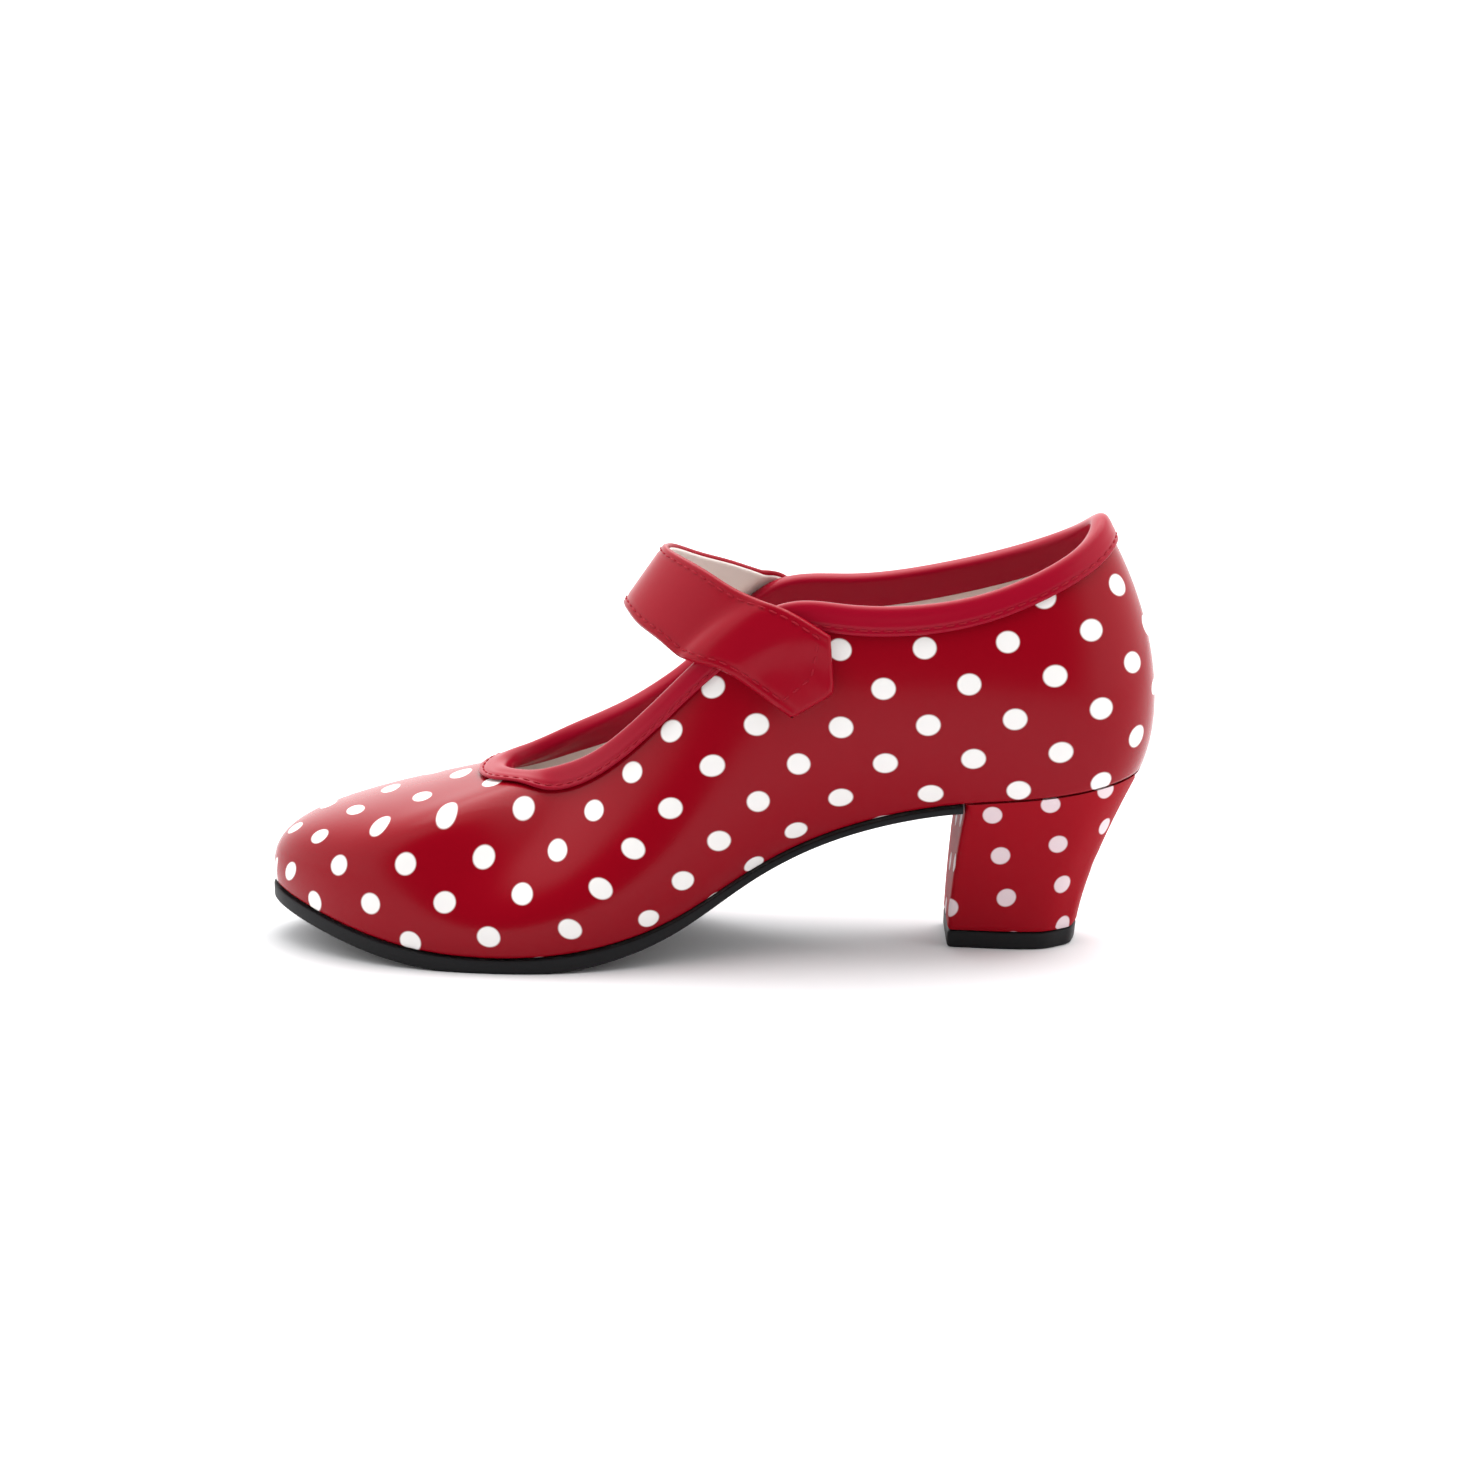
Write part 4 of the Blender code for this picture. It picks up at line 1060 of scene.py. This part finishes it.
class SHOE_OT_soles(bpy.types.Operator):
    """Make the rubber outsole and the sock inside"""

    bl_idname = "shoe.soles"
    bl_label = "Outsole and Sock"

    def execute(self, context):
        colours = context.scene.shoe_colours

        def top(x):
            return bottom_height(x) - GAP

        def lower(x):
            along = (COUNTER_OVERHANG - x) / LENGTH
            thick = between(along, OUTSOLE_WAIST, OUTSOLE_THICKNESS)
            return np.maximum(top(x) - thick - BALL_FLAT_DEPTH, 0.0)

        turns = np.linspace(0.0, np.pi / 2.0, 5)
        lower_round, upper_round = OUTSOLE_EDGE_ROUND, OUTSOLE_EDGE_ROUND * 0.6
        offsets = [OUTSOLE_MARGIN - lower_round * (1.0 - np.sin(turn)) for turn in turns]
        offsets += [OUTSOLE_MARGIN - upper_round * (1.0 - np.cos(turn)) for turn in turns]

        def level(turn, is_top):
            def height(x):
                half = (top(x) - lower(x)) / 2.0
                if is_top:
                    return top(x) - np.minimum(upper_round, half) * (1.0 - np.sin(turn))
                return lower(x) + np.minimum(lower_round, half) * (1.0 - np.cos(turn))

            return height

        heights = [level(turn, False) for turn in turns] + [level(turn, True) for turn in turns]
        grid = sole_grid(offsets, heights, float(x_at(BREAST_ALONG)) - 2.0 * GAP)
        rubber = finish_of("rubber", colours.rubber, 0.48)
        add_grain(rubber, 0.0008, 0.00003)
        piece = add_surface("outsole_rubber", grid, rubber.material, sharp=True)
        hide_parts("outsole")
        inset = -(WALL + SOCK_CLEARANCE)

        def sock(rise):
            return lambda x: bottom_height(x) + rise

        offsets = [inset, inset, inset - 0.0003, inset - 0.0010]
        rises = [0.0, INSOLE_THICKNESS - 0.0010, INSOLE_THICKNESS - 0.0003, INSOLE_THICKNESS]
        grid = sole_grid(offsets, [sock(rise) for rise in rises])
        lining = finish_of("sock_leather", colours.lining, 0.60)
        add_grain(lining, 0.0006, 0.00003)
        piece = add_surface("insole_sock", grid, lining.material, sharp=True)
        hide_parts("insole")
        return {"FINISHED"}


def heel_grid(shares, heights, insets, corner=0.0012):
    """The block as a closed grid: for each level a ring from the back centre along the inner side, over
    the breast with rounded corners, and back along the outer side. Insets draw a level in towards its
    middle. Also returned: how far around each column lies, as a share of the girth."""
    x, outer, inner = heel_sections(shares)
    side = np.stack([x, inner], axis=-1)[:, ::-1]
    other = np.stack([x, outer], axis=-1)
    across = np.linspace(0.0, 1.0, BREAST_COLUMNS)[1:-1, None]
    breast = side[:, -1:] + (other[:, :1] - side[:, -1:]) * across[None]
    loop = np.concatenate([side, breast, other], axis=1)
    steps = np.linalg.norm(np.diff(loop, axis=1), axis=2)
    reach = np.concatenate([np.zeros((len(loop), 1)), np.cumsum(steps, axis=1)], axis=1)
    even = np.linspace(0.0, 1.0, loop.shape[1] * 2)
    rows = []
    for level in range(len(loop)):
        share = reach[level] / reach[level, -1]
        rows.append(np.stack([np.interp(even, share, loop[level, :, axis]) for axis in (0, 1)], axis=-1))
    rows = np.array(rows)
    spread = np.maximum(int(round(corner / (reach[0, -1] / len(even)))), 1)
    for _ in range(spread * spread):
        inside = (rows[:, :-2] + 2.0 * rows[:, 1:-1] + rows[:, 2:]) / 4.0
        ends = (rows[:, 1] + 2.0 * rows[:, 0] + rows[:, -2]) / 4.0
        rows = np.concatenate([ends[:, None], inside, ends[:, None]], axis=1)
    middle = rows[:, :-1].mean(axis=1, keepdims=True)
    radius = np.linalg.norm(rows - middle, axis=2, keepdims=True)
    rows = middle + (rows - middle) * (1.0 - np.asarray(insets)[:, None, None] / radius)
    z = heights(rows[..., 0])
    return np.concatenate([rows, z[..., None]], axis=2), even


def capped(grid):
    """The grid with a point added in the middle of its first and of its last row."""
    ends = [np.broadcast_to(grid[row, :-1].mean(axis=0), grid[row].shape)[None] for row in (0, -1)]
    return np.concatenate([ends[0], grid, ends[1]])


class SHOE_OT_heel(bpy.types.Operator):
    """Make the dotted cover of the heel and its rubber top piece"""

    bl_idname = "shoe.heel"
    bl_label = "Heel"

    def execute(self, context):
        colours, sizes = context.scene.shoe_colours, context.scene.shoe_sizes
        bottom = TOP_PIECE_THICKNESS + GAP
        rise = np.linspace(0.0, 1.0, HEEL_LEVELS)
        shares = bottom / HEEL_HEIGHT + (1.0 - bottom / HEEL_HEIGHT) * rise
        insets = np.zeros(HEEL_LEVELS)
        insets[0] = 0.0004

        def height(x):
            seat = bottom_height(x) - SEAT_GAP
            return bottom + (seat - bottom) * rise[:, None]

        grid, around = heel_grid(shares, height, insets)
        girth = wall_lengths(grid)[:, -1:]
        across = (around - 0.5) * girth
        up = wall_lengths(np.swapaxes(grid, 0, 1)).T
        uv = np.stack([across, up - HEEL_DOTS_TILT * across], axis=-1)
        uv = np.concatenate([uv[:1], uv, uv[-1:]])
        cover = finish_of("heel_leather", colours.heel, 0.30, coat=0.16, coat_roughness=0.22, specular=0.0)
        add_grain(cover, 0.0011, 0.000010)
        pitch = (sizes.heel_dot_pitch, sizes.heel_dot_rise)
        diameter = sizes.heel_dot_diameter
        add_dots(cover, colours.heel, colours.heel_dots, pitch, diameter, HEEL_DOTS_AT, centred=False)
        piece = add_surface("heel_cover", capped(grid), cover.material, uv, sharp=True)
        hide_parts("heel")
        levels = np.array([0.0, 0.0002, 0.0006, 0.0035, 0.0038, TOP_PIECE_THICKNESS])
        insets = np.array([0.0006, 0.0002, 0.0, 0.0, 0.0001, 0.0004])
        grid, _ = heel_grid(levels / HEEL_HEIGHT, lambda x: levels[:, None] + 0.0 * x, insets)
        rubber = finish_of("top_piece_rubber", colours.rubber, 0.50)
        add_grain(rubber, 0.0008, 0.00003)
        piece = add_surface("top_piece_rubber", capped(grid), rubber.material, sharp=True)
        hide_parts("heel_top_piece")
        return {"FINISHED"}


def aim(obj, place, target):
    """Puts an object at a place with its -Z axis towards the target."""
    obj.location = place
    obj.rotation_euler = (Vector(target) - Vector(place)).to_track_quat("-Z", "Y").to_euler()


class SHOE_OT_stage(bpy.types.Operator):
    """Set the floor, the light around the shoe and the camera"""

    bl_idname = "shoe.stage"
    bl_label = "Stage"

    def execute(self, context):
        settings = context.scene.shoe_stage
        scene = context.scene
        target = np.array([-0.0635, 0.0, 0.048])
        turn, tilt = settings.azimuth, settings.elevation
        back = np.array([np.sin(turn) * np.cos(tilt), -np.cos(turn) * np.cos(tilt), np.sin(tilt)])
        camera = bpy.data.objects.new("camera", bpy.data.cameras.new("camera"))
        camera.data.lens = settings.lens
        camera.data.sensor_width = 36.0
        camera.data.clip_start = 0.01
        scene.collection.objects.link(camera)
        aim(camera, target + back * settings.distance, target)
        scene.camera = camera
        scene.view_settings.view_transform = "Standard"
        mesh = bpy.data.meshes.new("floor")
        size = 6.0
        corners = [(-size, -size, 0.0), (size, -size, 0.0), (size, size, 0.0), (-size, size, 0.0)]
        mesh.from_pydata(corners, [], [(0, 1, 2, 3)])
        floor = bpy.data.objects.new("floor", mesh)
        mesh.materials.append(finish_of("floor", settings.floor, 0.9, specular=0.0).material)
        scene.collection.objects.link(floor)
        light = bpy.data.lights.new("softbox", "AREA")
        light.shape = "RECTANGLE"
        light.size, light.size_y = 1.2, 0.8
        light.energy = settings.softbox
        softbox = bpy.data.objects.new("softbox", light)
        scene.collection.objects.link(softbox)
        aim(softbox, (0.05, 0.32, 0.85), (-0.08, 0.0, 0.0))
        world = scene.world or bpy.data.worlds.new("world")
        scene.world = world
        world.use_nodes = True
        tree = world.node_tree
        place = tree.nodes.new("ShaderNodeTexCoord")
        towards = tree.nodes.new("ShaderNodeVectorMath")
        towards.operation = "DOT_PRODUCT"
        towards.inputs[1].default_value = DARK_SIDE
        tree.links.new(place.outputs["Generated"], towards.inputs[0])
        front = tree.nodes.new("ShaderNodeMapRange")
        front.interpolation_type = "SMOOTHSTEP"
        levels = {1: 0.55, 2: 0.85, 3: settings.surround, 4: settings.dark}
        for key, value in levels.items():
            front.inputs[key].default_value = value
        tree.links.new(towards.outputs["Value"], front.inputs[0])
        shader = tree.nodes["Background"]
        tree.links.new(front.outputs[0], shader.inputs["Color"])
        shader.inputs["Strength"].default_value = 1.0
        return {"FINISHED"}


class SHOE_PT_panel(bpy.types.Panel):
    """Lists the sizes, the colours and the pieces of the shoe"""

    bl_idname = "SHOE_PT_panel"
    bl_label = "Flamenco Shoe"
    bl_space_type = "VIEW_3D"
    bl_region_type = "UI"
    bl_category = "Shoe"

    def draw(self, context):
        scene = context.scene
        for group in (scene.shoe_sizes, scene.shoe_colours, scene.shoe_stage):
            box = self.layout.box()
            for name in group.bl_rna.properties.keys():
                if name not in ("rna_type", "name"):
                    box.prop(group, name)
        for operator in OPERATORS:
            self.layout.operator(operator.bl_idname)


OPERATORS = (
    SHOE_OT_upper,
    SHOE_OT_binding,
    SHOE_OT_strap,
    SHOE_OT_soles,
    SHOE_OT_heel,
    SHOE_OT_stage,
)
CLASSES = (ShoeColours, ShoeSizes, ShoeStage, *OPERATORS, SHOE_PT_panel)


def register():
    for cls in CLASSES:
        bpy.utils.register_class(cls)
    bpy.types.Scene.shoe_colours = bpy.props.PointerProperty(type=ShoeColours)
    bpy.types.Scene.shoe_sizes = bpy.props.PointerProperty(type=ShoeSizes)
    bpy.types.Scene.shoe_stage = bpy.props.PointerProperty(type=ShoeStage)


def unregister():
    del bpy.types.Scene.shoe_stage
    del bpy.types.Scene.shoe_sizes
    del bpy.types.Scene.shoe_colours
    for cls in reversed(CLASSES):
        bpy.utils.unregister_class(cls)


def main():
    register()
    bpy.ops.shoe.upper()
    bpy.ops.shoe.binding()
    bpy.ops.shoe.strap()
    bpy.ops.shoe.soles()
    bpy.ops.shoe.heel()
    bpy.ops.shoe.stage()


if __name__ == "__main__":
    main()
